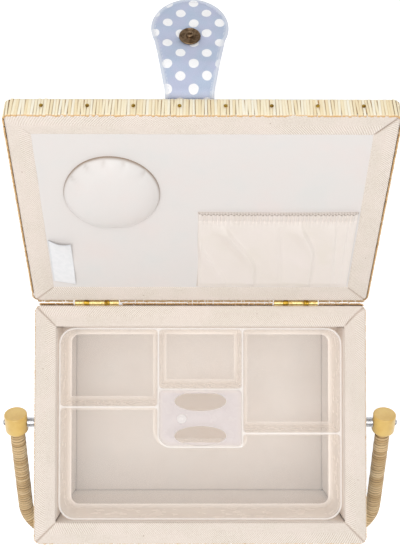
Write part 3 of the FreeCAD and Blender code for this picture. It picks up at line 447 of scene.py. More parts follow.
def tape_look():
    """Cream twill tape: slanted ribs that change direction along the middle, with brown flecks."""
    look = Look("herringbone_tape", CREAM, 0.85, sheen_weight=0.2)
    along, across = look.parts(look.surface())[:2]
    folded = look.maths("ABSOLUTE", across)
    wobble = look.maths("MULTIPLY", look.noise(4 * MM), 0.7 * MM)
    slanted = look.maths("ADD", look.maths("ADD", along, look.maths("MULTIPLY", folded, 1.5)), wobble)
    rib = look.wave(slanted, 2.2 * MM)
    thread = look.wave(look.maths("SUBTRACT", folded, along), 0.7 * MM)
    fibre = look.noise(0.9 * MM, 3)
    shade = look.band(look.maths("ADD", rib, look.maths("MULTIPLY", fibre, 3)), 0.0, 2.6, 0.0, 1.0)
    base = look.mix(shade, (206, 191, 175), CREAM)
    base = look.mix(look.band(look.noise(30 * MM, 2), 0.35, 0.65, 0, 0.35), base, (241, 227, 219))
    speck = look.node("TexVoronoi", look.surface(), feature="F1")
    speck.inputs["Scale"].default_value = 1 / (9 * MM)
    size = look.maths("MULTIPLY", look.parts(speck.outputs["Color"])[0], 0.055)
    fleck = look.band(look.maths("SUBTRACT", speck.outputs["Distance"], size), -0.012, 0.012, 0.75, 0.0)
    base = look.mix(fleck, base, (146, 112, 84))
    # painted shade along the mitre seams, from the stored marks
    base = look.mix(look.marks_and_shade(), base, (160, 130, 108))
    look.set("Base Color", base)
    ribs = look.bump(rib, 0.12 * MM, 0.7)
    look.set("Normal", look.bump(look.maths("ADD", thread, fibre), 0.05 * MM, 0.6, ribs))
    return look.material


def dotted_look():
    """Blue cotton with white dots in staggered columns, and a pale worn edge."""
    look = Look("dotted_cotton", BLUE, 0.85, sheen_weight=0.15)
    pitch, dot = 20.4 * MM, 3.95 * MM
    surface = look.surface()
    worn = look.node("VectorMath", look.node("TexNoise", surface, None, 1 / (6 * MM)).outputs["Color"],
                     (-0.5, -0.5, -0.5), operation="ADD").outputs[0]
    uneven = look.node("VectorMath", surface, look.stretch(worn, 0.9 * MM, 0.9 * MM, 0),
                       operation="ADD").outputs[0]
    nearest = []
    for shift in (0.0, 0.5):
        cell = look.node("VectorMath", look.stretch(uneven, 1 / pitch, 1 / pitch, 0), (shift, shift, 0),
                         operation="ADD").outputs[0]
        cell = look.node("VectorMath", cell, operation="FRACTION").outputs[0]
        offset = look.node("VectorMath", look.stretch(cell, pitch, pitch, 0), (pitch / 2, pitch / 2, 0),
                           operation="SUBTRACT").outputs[0]
        nearest.append(look.node("VectorMath", offset, operation="LENGTH").outputs["Value"])
    distance = look.maths("MINIMUM", *nearest)
    weave = look.band(look.noise(0.8 * MM, 2, surface), 0.3, 0.7)
    ground = look.mix(look.band(look.noise(16 * MM, 3), 0.35, 0.65), BLUE, BLUE_GREY)
    ground = look.mix(look.maths("MULTIPLY", weave, 0.25), ground, (203, 211, 231))
    white = look.mix(weave, (240, 240, 242), (247, 247, 248))
    cloth = look.mix(look.band(distance, dot - 0.35 * MM, dot + 0.2 * MM, 1, 0), ground, white)
    look.set("Base Color", look.mix(look.marks_and_shade(), cloth, (214, 219, 228)))
    threads = look.bump(cloth_weave(look, 0.6 * MM), 0.06 * MM, 0.6)
    look.set("Normal", look.bump(look.noise(12 * MM, 3, surface), 0.6 * MM, 0.35, threads))
    return look.material


def straw_look(name, light, base, dark, end):
    """Flat straw strips: each strip has its own tone, streaks along it, darker wrapped ends, and painted
    shade where strips meet and along the back.
    """
    look = Look(name, base, 0.5, specular_ior_level=0.35)
    number = look.maths("FLOOR", look.parts(look.surface())[1])
    tone = look.node("TexWhiteNoise", noise_dimensions="1D")
    look.join(tone.inputs["W"], number)
    straw = look.mix(look.band(tone.outputs[0], 0.0, 0.55), dark, base)
    straw = look.mix(look.band(tone.outputs[0], 0.5, 1.0), straw, light)
    lines = look.noise(1.0, 3, look.stretch(look.surface(), 60.0, 7.0, 0))
    straw = look.mix(look.band(lines, 0.35, 0.7, 0.0, 0.3), straw, dark)
    # the stored marks: darker ends, and painted shade between strips and at the back
    straw = look.mix(look.marks_and_shade(), straw, end)
    look.set("Base Color", straw)
    look.set("Roughness", look.band(lines, 0.3, 0.7, 0.38, 0.62))
    look.set("Normal", look.bump(lines, 0.12 * MM, 0.7))
    return look.material


def cord_look():
    """Twisted paper cord: fine slanted strands along each turn, turns of different tone, and painted shade
    between the turns.
    """
    look = Look("paper_cord", STRAW_CORD, 0.6)
    along, turn = look.parts(look.surface())[:2]
    tone = look.node("TexWhiteNoise", noise_dimensions="1D")
    look.join(tone.inputs["W"], look.maths("FLOOR", turn))
    drift = look.noise(14 * MM, 2)
    base = look.mix(look.band(tone.outputs[0], 0.1, 0.9), (200, 166, 116), STRAW_CORD)
    base = look.mix(look.band(drift, 0.45, 0.7, 0, 0.6), base, (240, 214, 168))
    slant = look.maths("ADD", along, look.maths("MULTIPLY", turn, 1.1 * MM))
    strand = look.wave(slant, 1.0 * MM)
    base = look.mix(look.band(strand, -1, 0.2, 0.3, 0), base, (140, 108, 70))
    # painted shade between the turns, from the stored marks
    look.set("Base Color", look.mix(look.marks_and_shade(), base, (118, 88, 56)))
    look.set("Normal", look.bump(strand, 0.12 * MM, 0.7))
    return look.material


def plastic_look(name, base, second, roughness):
    """Moulded plastic: a slow change of tone and a faint orange-peel surface."""
    look = Look(name, base, roughness, coat_weight=0.25, coat_roughness=0.15)
    look.blend(look.noise(14 * MM, 3), 0.35, 0.7, base, second)
    look.set("Roughness", look.band(look.noise(3 * MM, 3), 0.3, 0.7, roughness - 0.06, roughness + 0.08))
    look.set("Normal", look.bump(look.noise(1.4 * MM, 2), 0.05 * MM, 0.35))
    return look.material


def clear_look(name, base, alpha, painted_glow=0.0):
    """Milky translucent plastic of one density, with an optional emission that is painted light, brightening
    a wall as if light scattered along inside it.
    """
    look = Look(name, base, 0.22, specular_ior_level=0.55)
    # painted light: the emission makes the walls glow brighter than their shading
    look.shader.inputs["Emission Color"].default_value = colour(*base)
    look.shader.inputs["Emission Strength"].default_value = painted_glow
    look.shader.inputs["Alpha"].default_value = alpha
    look.set("Roughness", look.band(look.noise(11 * MM, 3), 0.3, 0.7, 0.16, 0.3))
    look.set("Normal", look.bump(look.noise(26 * MM, 2), 0.5 * MM, 0.12))
    return look.material


def metal_look(name, base, worn, roughness):
    """Plated metal with a tarnish and fine rubbing."""
    look = Look(name, base, roughness, metallic=1.0)
    look.blend(look.noise(2.6 * MM, 4), 0.35, 0.7, base, worn)
    look.set("Roughness", look.band(look.noise(0.9 * MM, 3), 0.3, 0.7, roughness - 0.08, roughness + 0.12))
    look.set("Normal", look.bump(look.noise(0.7 * MM, 2), 0.03 * MM, 0.4))
    return look.material


def wood_look(name, base, grain):
    look = Look(name, base, 0.6)
    lines = look.noise(1.0, 5, look.stretch(look.place(), 30.0, 190.0, 190.0))
    look.blend(lines, 0.35, 0.7, base, grain)
    look.set("Normal", look.bump(lines, 0.15 * MM, 0.5))
    return look.material


def wadding_look():
    look = Look("wadding", (238, 236, 231), 0.95, sheen_weight=0.4)
    fluff = look.noise(2.5 * MM, 6)
    look.blend(fluff, 0.3, 0.7, (226, 222, 214), (244, 243, 240))
    look.set("Normal", look.bump(fluff, 1.0 * MM, 0.8))
    return look.material


def label_look():
    look = Look("woven_label", (246, 246, 247), 0.45, sheen_weight=0.3)
    x, y = look.parts(look.surface())[:2]
    ribs = look.maths("ADD", look.wave(x, 0.5 * MM), look.wave(y, 0.9 * MM))
    shade = look.band(look.noise(5 * MM, 2, look.surface()), 0.3, 0.7)
    tinted = look.mix(shade, (236, 236, 238), (230, 231, 233))
    look.set("Base Color", look.mix(look.marks_and_shade(), tinted, (205, 208, 212)))
    look.set("Normal", look.bump(ribs, 0.04 * MM, 0.5))
    return look.material


CREAM = (243, 234, 224)
BLUE = (181, 187, 211)
BLUE_GREY = (172, 186, 208)
STRAW_CORD = (228, 198, 150)

SATIN = satin_look("satin", (224, 219, 216), (228, 217, 213), (218, 218, 216), (150, 130, 112))
POCKET_SATIN = satin_look("gathered_satin", (232, 223, 216), (236, 226, 222), (226, 218, 206), (122, 102, 84))
# painted light: a lighter copy of the satin, so that the shaded lining deep inside the box reads as brightly
# lit
LINING_SATIN_PAINTED_LIGHT = satin_look("lining_satin", (243, 233, 224), (243, 230, 220), (240, 233, 226), (158, 130, 104))
TAPE = tape_look()
DOTTED = dotted_look()
STRAW = straw_look("straw", (255, 251, 234), (255, 245, 216), (248, 231, 192), (212, 166, 108))
CORD = cord_look()
CAP = plastic_look("mustard_plastic", (226, 192, 116), (216, 178, 100), 0.34)
TRAY_FLOOR = clear_look("tray_floor", (246, 243, 240), 0.16)
TRAY_WALL = clear_look("tray_wall", (250, 242, 234), 0.42, 0.17)
TRAY_RIM = clear_look("tray_rim", (248, 245, 243), 0.5)
TRAY_GRIP = clear_look("tray_grip", (224, 216, 219), 0.4)
BRASS = metal_look("brass", (222, 198, 140), (190, 160, 98), 0.3)
NAIL_BRASS = metal_look("nail_brass", (196, 158, 60), (120, 88, 30), 0.35)
ANTIQUE = metal_look("antique_brass", (146, 122, 96), (96, 76, 56), 0.4)
STEEL = metal_look("plated_steel", (206, 206, 208), (168, 168, 172), 0.26)
FERRITE = metal_look("ferrite", (58, 58, 62), (40, 40, 43), 0.5)
BOARD = wood_look("board", (186, 152, 112), (150, 116, 80))
CANE = wood_look("cane", (206, 172, 122), (176, 138, 90))
WADDING = wadding_look()
LABEL = label_look()


# ---------------------------------------------------------------- tapes round the rim and the lid

# the sides anticlockwise from the front: the direction along each and the direction out of it
SIDES = ((1, 0, 0, -1), (0, 1, 1, 0), (-1, 0, 0, 1), (0, -1, -1, 0))
CORNER_ROUND = 5.5 * MM
# half the outline of a ring of tapes, and half the opening inside it
TAPES_OUT, TAPES_IN = (HALF_WIDTH + 0.3 * MM, HALF_DEPTH + 0.3 * MM), (ROOM_X, ROOM_Y)
TAPE_WIDTH = TAPES_OUT[1] - TAPES_IN[1]
# how much cloth rolls over a tape's two edges, and how far the tape lies below its level
TAPE_ROLLS, TAPE_SINK = 6.5 * MM, 0.27 * MM


def ring_point(side, along, out):
    """Points of a mitred ring: along is -1 to 1 from corner to corner, out is 0 at its inner edge to 1."""
    run_x, run_y, out_x, out_y = SIDES[side]
    lengths = TAPES_OUT if run_x else TAPES_OUT[::-1]
    inner = TAPES_IN if run_x else TAPES_IN[::-1]
    straight = lengths[0] - CORNER_ROUND
    travel = np.abs(along) * (straight + CORNER_ROUND * math.pi / 4)
    turn = np.clip(travel - straight, 0, None) / CORNER_ROUND
    outer_run = np.sign(along) * (np.minimum(travel, straight) + CORNER_ROUND * np.sin(turn))
    outer_far = lengths[1] - CORNER_ROUND + CORNER_ROUND * np.cos(turn)
    run = along * inner[0] * (1 - out) + outer_run * out
    far = inner[1] * (1 - out) + outer_far * out
    return run * run_x + far * out_x, run * run_y + far * out_y


def tape_profile():
    """(distance from the inner edge, height) points across a tape that rolls over at both edges."""
    roll = [(0.7, -3.2), (0.1, -2.2), (0.0, -1.3), (0.25, -0.5), (0.9, -0.08)]
    crown = 0.2 * MM
    near = [(across * MM, height * MM) for across, height in roll]
    far = [(TAPE_WIDTH - across, height) for across, height in reversed(near)]
    flat = [(TAPE_WIDTH * share, crown * math.sin(math.pi * share)) for share in np.linspace(0.1, 0.9, 15)]
    return np.array(near + flat + far)


def make_tape(name, side, level, body, placement, ends, seed):
    """One side's twill tape. ends gives each of its two ends a bow, a lap and how plain its mitre shows."""
    profile = tape_profile()
    bow_reach, lap_place, lap_width = 14 * MM, 1.2 * MM, 2.2 * MM
    mitre_width, mitre_depth = 0.8 * MM, 0.4 * MM
    along = np.sin(np.linspace(-1, 1, 121) * math.pi / 2)[:, None]
    out = (profile[:, 0] / TAPE_WIDTH)[None, :]
    x, y = ring_point(side, along, out)
    run_x, run_y = SIDES[side][:2]
    length = TAPES_OUT[0] if run_x else TAPES_OUT[1]
    height = level - TAPE_SINK + profile[:, 1][None, :] + 0.08 * MM * ripple(x, y, 42 * MM, seed)
    marks_and_shade = np.zeros_like(x)
    bump = np.sin(math.pi * np.clip(out, 0, 1))
    for end, (bow, lap, shown) in zip((-1, 1), ends):
        from_end = (1 - end * along) * length
        shift = bow * bump * np.exp(-from_end / bow_reach)
        x, y = x + shift * run_x, y + shift * run_y
        height = height + lap * bell(from_end - lap_place, lap_width)
        height = height - shown * mitre_depth * bell(from_end, mitre_width)
        # painted shade in a thin line along each mitre
        marks_and_shade = np.maximum(marks_and_shade, shown * bell(from_end, 1.1 * MM) * smooth_step(out, 0.02, 0.12))
    points = stacked(x, y, height)
    surface = coordinates(along * length, profile[:, 0][None, :] - TAPE_WIDTH / 2)
    piece = patches(name, [(points, surface, marks_and_shade * 0.5)], placement=placement)
    dress(piece, body, TAPE, "herringbone_tape", name)


def make_tapes(kind, sides, level, body, placement, seed):
    """A ring of four tapes. sides names them in the order of SIDES, each with its two ends."""
    for side, (name, ends) in enumerate(sides.items()):
        make_tape(f"{kind}_tape_{name}", side, level, body, placement, ends, seed + side)


def make_rim_and_lid_tapes():
    bow, lap, faint = 1.2 * MM, 0.2 * MM, 0.05
    plain, lapped = (0, 0, 1), (0, lap, 1)
    rim = {"front": (plain, lapped), "right": (plain, (bow, lap, 1)), "back": ((bow, 0, 1), lapped),
           "left": (plain, lapped)}
    make_tapes("rim", rim, RIM_TOP, "basket", None, 11)
    lid = {"back": (plain, lapped), "right": (plain, lapped), "front": (plain, (0, 0, faint)),
           "left": ((0, 0, faint), lapped)}
    make_tapes("lid", lid, LINING_LOW.z - LID_FACE, "lid", LID_RING, 31)


# ---------------------------------------------------------------- padded linings

def crown_swell(crown, axis, sign, seed, wrinkle=0.25 * MM, size=55 * MM):
    """A swell for rounded_block: one face rises to a crown and is faintly uneven."""
    def swell(sx, sy, sz, x, y, z):
        share = [sx, sy, sz]
        others = [i for i in range(3) if i != axis]
        rise = np.prod([np.clip(1 - np.abs(share[i]) ** 6, 0, 1) for i in others], axis=0)
        face = np.clip(share[axis] * sign, 0, 1) ** 2
        place = [x, y, z]
        uneven = wrinkle * ripple(place[others[0]], place[others[1]], size, seed)
        move = [np.zeros_like(x), np.zeros_like(x), np.zeros_like(x)]
        move[axis] = sign * face * rise * (crown + uneven)
        return move
    return swell


def edge_hold(piece, axis, sign, margin):
    """How firmly each point is held for plump: all but the middle of the one face along the axis."""
    points = points_of(piece)
    low, high = points.min(0), points.max(0)
    depth = (high[axis] - points[:, axis]) if sign > 0 else (points[:, axis] - low[axis])
    others = [k for k in range(3) if k != axis]
    to_edge = np.min([np.minimum(points[:, k] - low[k], high[k] - points[:, k]) for k in others], axis=0)
    return 1 - smooth_step(to_edge, 0, margin) * (depth < 0.5 * (high[axis] - low[axis]))


def make_linings():
    """The padded cloth inside the walls and on the floor."""
    sides = {"front": (1, 1), "back": (1, -1), "left": (0, 1), "right": (0, -1)}
    for i, (side, (axis, sign)) in enumerate(sides.items()):
        low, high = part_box(f"{side}_lining")
        low.z, high.z = FLOOR_TOP - 3 * MM, WALL_TOP - 0.3 * MM
        if axis == 1:
            low.x, high.x = -ROOM_X - 2 * MM, ROOM_X + 2 * MM
        swell = crown_swell(1.0 * MM, axis, sign, 51 + i)
        piece = rounded_block(f"{side}_lining_pad", low, high, 2.5 * MM, swell)
        plump(piece, edge_hold(piece, axis, sign, 9 * MM), 3.0, 1.2 * MM)
        # painted shade in a line where each wall pad meets the floor cushion
        store_marks_and_shade(piece.data, 0.55 * bell(points_of(piece)[:, 2] - FLOOR_TOP, 1.6 * MM))
        dress(piece, "basket", LINING_SATIN_PAINTED_LIGHT, "satin", f"{side}_lining")
    low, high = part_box("floor_pad")
    swell = crown_swell(1.2 * MM, 2, 1, 61, wrinkle=0.45 * MM, size=48 * MM)
    piece = rounded_block("floor_cushion", low, high, 1.9 * MM, swell, cuts=50)
    plump(piece, edge_hold(piece, 2, 1, 8 * MM), 3.0, 1.0 * MM)
    dress(piece, "basket", LINING_SATIN_PAINTED_LIGHT, "satin", "floor_pad")


def make_lid_lining():
    under = 2.5 * MM
    low = Vector((-ROOM_X - under, HALF_DEPTH - ROOM_Y - under, -4.5 * MM))
    high = Vector((ROOM_X + under, HALF_DEPTH + ROOM_Y + under, 0.2 * MM))
    swell = crown_swell(0.5 * MM, 2, 1, 71, wrinkle=0.2 * MM, size=60 * MM)
    piece = rounded_block("lid_lining_pad", low, high, 1.5 * MM, swell, cuts=46, placement=INNER)
    dress(piece, "lid", SATIN, "satin", "lid_lining")


# ---------------------------------------------------------------- dotted cloth

def rounded_ring(half_x, half_y, corner, steps=10, straight=40):
    """(points, outward directions, distance along) of a rounded rectangle, closed, anticlockwise."""
    points, outs = [], []
    for run_x, run_y, out_x, out_y in SIDES:
        half_run, half_far = (half_x, half_y) if run_x else (half_y, half_x)
        for t in np.linspace(-1, 1, straight, endpoint=False):
            run = t * (half_run - corner)
            points.append((run * run_x + half_far * out_x, run * run_y + half_far * out_y))
            outs.append((out_x, out_y))
        for k in range(steps):
            a = math.pi / 2 * k / steps
            ox, oy = out_x * math.cos(a) + run_x * math.sin(a), out_y * math.cos(a) + run_y * math.sin(a)
            centre_run, centre_far = half_run - corner, half_far - corner
            points.append((centre_run * run_x + centre_far * out_x + corner * ox,
                           centre_run * run_y + centre_far * out_y + corner * oy))
            outs.append((ox, oy))
    points.append(points[0])
    outs.append(outs[0])
    points, outs = np.array(points), np.array(outs)
    along = np.concatenate([[0], np.cumsum(np.linalg.norm(np.diff(points, axis=0), axis=1))])
    return points, outs, along


def make_outer_cover():
    """The dotted cotton round the walls, a little padded between the two straw borders."""
    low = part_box("outer_cover")[0]
    ring, outs, along = rounded_ring(HALF_WIDTH - 0.2 * MM, HALF_DEPTH - 0.2 * MM, CORNER_ROUND)
    bottom_border, both_borders, crown, pinned_reach = 14 * MM, 30 * MM, 1.6 * MM, 15 * MM
    rise = np.linspace(0, 1, 40)
    height = low.z + 0.4 * MM + rise * (WALL_TOP - 0.6 * MM - low.z)
    free = np.clip((height - bottom_border) / (WALL_TOP - both_borders), 0, 1)
    share = np.clip(np.sin(math.pi * free), 0, 1)[:, None] ** 0.5
    uneven = 0.3 * MM * ripple(along[None, :], height[:, None], 60 * MM, 81)
    socket = middle(*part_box("snap_socket"))
    away = np.hypot(ring[None, :, 0] - socket.x, height[:, None] - socket.z) / pinned_reach
    pinned = np.where(outs[None, :, 1] < -0.9, np.exp(-away ** 4), 0)
    push = (crown + uneven) * share * (1 - pinned)
    points = stacked(ring[None, :, 0] + outs[None, :, 0] * push, ring[None, :, 1] + outs[None, :, 1] * push,
                     height[:, None])
    piece = patches("dotted_cover", [(points, coordinates(along[None, :], height[:, None]))])
    dress(piece, "basket", DOTTED, "dotted_cloth", "outer_cover")


def make_lid_cover():
    """The padded dotted top of the lid, seen from behind and when it is shut."""
    low = Vector((-HALF_WIDTH + 0.2 * MM, -HALF_DEPTH + 0.2 * MM, box_in("lid_cover", LID)[0].z))
    high = Vector((-low.x, -low.y, LID_TOP - 0.3 * MM))
    swell = crown_swell(4.0 * MM, 2, 1, 91, wrinkle=0.3 * MM, size=80 * MM)
    piece = rounded_block("lid_cover_cloth", low, high, 6 * MM, swell, cuts=44, placement=LID)
    plump(piece, edge_hold(piece, 2, 1, 30 * MM), 3.0, 1.5 * MM)
    dress(piece, "lid", DOTTED, "dotted_cloth", "lid_cover")


# ---------------------------------------------------------------- straw bands

STRIP_PITCH = 2.35 * MM


def strip_rows(low, high, curl):
    """(height, how far in) points up a strip whose two ends wrap over the band's edges."""
    wrap = 1.1 * MM
    arc = np.linspace(0, math.pi / 2, 5)
    lower = [(low + wrap * (1 - math.cos(a)), curl[0] * (1 - math.sin(a))) for a in arc]
    upper = [(high - wrap * (1 - math.cos(a)), curl[1] * (1 - math.sin(a))) for a in arc[::-1]]
    return np.array(lower + [(low + (high - low) * t, 0.0) for t in (0.3, 0.5, 0.7)] + upper)


def straw_band(name, low, high, curl, by_hinge, bulge, side_swell=0.0, placement=None, seed=1):
    """Flat straw strips laid side by side round the box over a backing sheet that is dark as painted shade in
    the gaps.

    curl is how far they turn in over the lower and the upper edge. At the back they stop short of those edges
    by by_hinge beside a hinge, and elsewhere they swell out by bulge at the two ends. side_swell is how much
    further they stand out at the left and the right.
    """
    draw = np.random.default_rng(seed)
    ring, outs, along = rounded_ring(HALF_WIDTH - 0.1 * MM, HALF_DEPTH - 0.1 * MM, CORNER_ROUND, straight=60)
    count = int(along[-1] / STRIP_PITCH)
    section = np.array([(-1.0, 0.0), (-0.6, 0.3), (0.0, 0.38), (0.6, 0.3), (1.0, 0.0), (0.0, -0.3),
                        (-1.0, 0.0)])
    width, dome = section[None, :, 0], section[None, :, 1]
    hinge_reach, stand_off, tip_mark = 22 * MM, 0.55 * MM, 0.7 * MM
    hinges = [middle(*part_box(f"hinge_{hand}_body_leaf")).x for hand in ("left", "right")]
    grids = []
    for i in range(count):
        centre = (i + 0.5 + draw.uniform(-0.1, 0.1)) * along[-1] / count
        half = 0.5 * STRIP_PITCH * draw.uniform(0.92, 1.14)
        lean, lift = draw.normal(0, 0.2) * MM, draw.uniform(0, 0.22) * MM
        reach = draw.normal(0, 0.22) * MM
        back = np.interp(centre, along, outs[:, 1]) > 0.9
        beside = min(abs(np.interp(centre, along, ring[:, 0]) - at) for at in hinges) < hinge_reach
        cut = by_hinge if back and beside else (0, 0)
        rows = strip_rows(low + cut[0], high - cut[1], curl)
        share = ((rows[:, 0] - low) / (high - low))[:, None]
        swell = (bulge[0] * (1 - share) ** 3 + bulge[1] * share ** 3) if back and not beside else 0
        height = rows[:, :1] + reach * (2 * share - 1)
        place = np.mod(centre + lean * (2 * share - 1) + width * half, along[-1])
        side = side_swell * abs(np.interp(centre, along, outs[:, 0]))
        out = dome * MM + lift + swell + side + stand_off - rows[:, 1:]
        points = [np.interp(place, along, ring[:, k]) + np.interp(place, along, outs[:, k]) * out
                  for k in (0, 1)]
        tip = np.minimum(rows[:, 0] - low - cut[0], high - cut[1] - rows[:, 0])[:, None]
        # darker at the wrapped strip ends, painted shade along the edges where strips meet, and painted shade
        # over every strip at the back
        marks_and_shade = np.clip(np.maximum(1 - tip / tip_mark, np.abs(width) * 2.2 - 1.9), 0.5 if back else 0, 1)
        surface = coordinates(height + 0.05 * i, i + 0.5 + 0.4 * width)
        grids.append((stacked(*points, height + 0 * place), surface, marks_and_shade))
    shade_backing = [ring[None, :, k] + outs[None, :, k] * 0.15 * MM for k in (0, 1)]
    levels = np.array([[low + by_hinge[0] + MM], [high - by_hinge[1] - MM]])
    # the backing sheet is painted shade: fully dark where it shows between the strips
    grids.append((stacked(*shade_backing, levels), coordinates(levels, along[None, :]), np.ones((2, len(along)))))
    return patches(name, grids, weld=0, placement=placement)


def make_straw_bands():
    low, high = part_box("bottom_border")
    piece = straw_band("bottom_border_straw", low.z + 0.7 * MM, high.z, (MM, MM), (0, 0), (0, 0), seed=101)
    dress(piece, "basket", STRAW, "wicker", "bottom_border")
    low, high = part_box("top_border")
    drop = 2.8 * MM
    piece = straw_band("top_border_straw", low.z, high.z, (MM, MM), (0, drop), (0, 2.0 * MM), seed=102)
    dress(piece, "basket", STRAW, "wicker", "top_border")
    low, high = box_in("lid_wicker_edge", LID)
    piece = straw_band("lid_edge_straw", low.z - 0.2 * MM, high.z, (1.2 * MM, 2.0 * MM), (drop, 0),
                       (2.1 * MM, 0), side_swell=1.3 * MM, placement=LID, seed=105)
    dress(piece, "lid", STRAW, "wicker", "lid_wicker_edge")


# ---------------------------------------------------------------- pincushion, pocket and label

def make_pincushion():
    """A stuffed round cushion, drawn in at its seam with a few straight tucks."""
    low, high = box_in("pincushion", INNER)
    centre, radius, height = middle(low, high), (high.x - low.x) / 2, high.z - low.z

    def dome(sx, sy, sz, x, y, z):
        out_x, out_y = radius * sx * np.sqrt(1 - sy ** 2 / 2), radius * sy * np.sqrt(1 - sx ** 2 / 2)
        share = np.clip(np.hypot(out_x, out_y) / radius, 0, 1)
        rise = 1.0 * MM + (height - 3.2 * MM) * (1 - share ** 2.6) ** 0.62
        return out_x - x, out_y - y, -height / 2 + (sz + 1) / 2 * rise - z

    piece = rounded_block("pincushion_cloth", low, high, 2 * MM, dome, cuts=34, placement=INNER)
    points = points_of(piece) - centre
    share = np.hypot(points[:, 0], points[:, 1]) / radius
    plump(piece, smooth_step(share, 0.9, 0.99) + (points[:, 2] < -height / 2 + 0.6 * MM), 4.0, 4.0 * MM)
    points = points_of(piece)
    x, y, z = (points - centre).T
    share, angle = np.hypot(x, y) / radius, np.arctan2(y, x)
    tucks = sum(bell(angle - at, 0.04) for at in (0.75, 1.25, 1.7, 2.1, 2.55, -1.5))
    top = smooth_step(z, -height / 2, -height / 2 + 3 * MM)
    points[:, 2] -= 1.2 * MM * tucks * smooth_step(share, 0.6, 0.93) * top
    points[:, 2] += 0.3 * MM * ripple(x, y, 26 * MM, 121) * top * (share < 0.98)
    squeeze = 1 - 0.03 * np.clip(np.sin(angle - 1.1), 0, 1) ** 6
    points[:, :2] = np.array(centre)[:2] + (points[:, :2] - np.array(centre)[:2]) * squeeze[:, None]
    place_points(piece, points)
    # the dark base seam, partly the seam itself and partly painted shade, with painted shade in the tucks too
    seam = np.clip(0.95 * bell(share - 1, 0.018) + 0.25 * tucks * smooth_step(share, 0.8, 0.95), 0, 1)
    store_marks_and_shade(piece.data, seam)
    dress(piece, "lid", SATIN, "satin", "pincushion")


# each fold: its start across the mouth, how far it leans, between which shares of the way down it leans,
# its depth and its width in millimetres
POCKET_FOLDS = ((0.16, 0.21, 0.08, 0.75, 3.4, 9), (0.64, 0.1, 0.08, 0.55, 3.6, 9),
                (0.0, 0.18, 0.3, 1, 2.0, 8), (0.5, 0.05, 0, 1, 1.4, 8),
                (0.86, 0.03, 0, 1, 1.8, 7), (0.94, 0, 0, 1, 1.2, 5))
GATHER = 1.25


def pocket_folds(across, down):
    """The height of the pocket's long folds: each rises slowly from the left and drops at its right."""
    folds = 0.0
    for start, lean, begin, end, depth, wide in POCKET_FOLDS:
        side = (across - (start + lean * smooth_step(down, begin, end)) * across.max()) / (wide * MM)
        folds = folds + depth * MM * np.where(side < 0, np.exp(-side ** 2), np.exp(-(side * 4.0) ** 2))
    return folds


def make_pocket():
    """The gathered pocket: an elastic mouth with fine ruffles above long soft folds."""
    low, high = box_in("pocket", INNER)
    elastic_low, elastic_high = box_in("pocket_elastic", INNER)
    band = elastic_high.y - elastic_low.y
    up = np.linspace(0, 1, 150)[:, None]
    right = np.linspace(0, 1, 300)[None, :]
    width, length = high.x - low.x, high.y - low.y
    x, y = low.x + right * width, low.y + up * length
    from_mouth = (1 - up) * length
    gather = 1 - smooth_step(from_mouth, band * 0.9, band * 1.9)
    wander = 0.8 * MM * ripple(x, 0 * y, 19 * MM, 131)
    ruffle = 0.75 * MM * np.sin(2 * math.pi * (x + wander) / (3.6 * MM)) * (0.35 + 0.65 * gather) * gather
    folds = pocket_folds(right * width, 1 - up)
    spread = smooth_step(from_mouth, band * 0.8, band * 2.6)
    body = 1.6 * MM + folds * spread * (0.35 + 0.65 * np.clip(up * 1.4, 0, 1))
    edge = smooth_step(x, low.x, low.x + 4 * MM) * smooth_step(high.x - x, -2 * MM, 3 * MM)
    foot = smooth_step(y - low.y, -1 * MM, 7 * MM)
    mouth = 1.4 * MM * smooth_step(from_mouth, 12 * MM, 0)
    groove = 0.7 * MM * bell(from_mouth - band, 0.8 * MM)
    rise = (body + mouth + ruffle - groove) * edge * (0.25 + 0.75 * foot)
    droop = 0.5 * MM * np.sin(right * math.pi) * gather
    stitches = 0.5 + 0.5 * np.sin(2 * math.pi * x / (2.4 * MM))
    # a dark line along the mouth, partly the stitches and partly painted shade of the shadow inside the
    # elastic mouth; then a darker line along the left edge where the pocket meets the lining
    marks_and_shade = 0.95 * bell(from_mouth - 0.7 * MM, 0.7 * MM) * (0.45 + 0.55 * stitches)
    marks_and_shade = np.maximum(marks_and_shade, 0.5 * bell(x - low.x - 0.6 * MM, 0.5 * MM) * np.ones_like(y))
    points = stacked(x, y - droop * (1 - from_mouth / length), 0.3 * MM + rise)
    surface = coordinates((x - low.x) * GATHER, y)
    tuck = points[-1:].copy()
    tuck[..., 2] = 0.2 * MM
    tuck[..., 1] -= 0.4 * MM
    points = np.concatenate([points, (points[-1:] + tuck) / 2 + [0, 0.3 * MM, 0], tuck])
    surface = np.concatenate([surface, surface[-1:] + [0, 1 * MM], surface[-1:] + [0, 2 * MM]])
    marks_and_shade = np.concatenate([marks_and_shade, marks_and_shade[-1:], marks_and_shade[-1:]])
    piece = patches("pocket_cloth", [(points, surface, marks_and_shade)], placement=INNER)
    dress(piece, "lid", POCKET_SATIN, "gathered_satin", "pocket", "pocket_elastic")


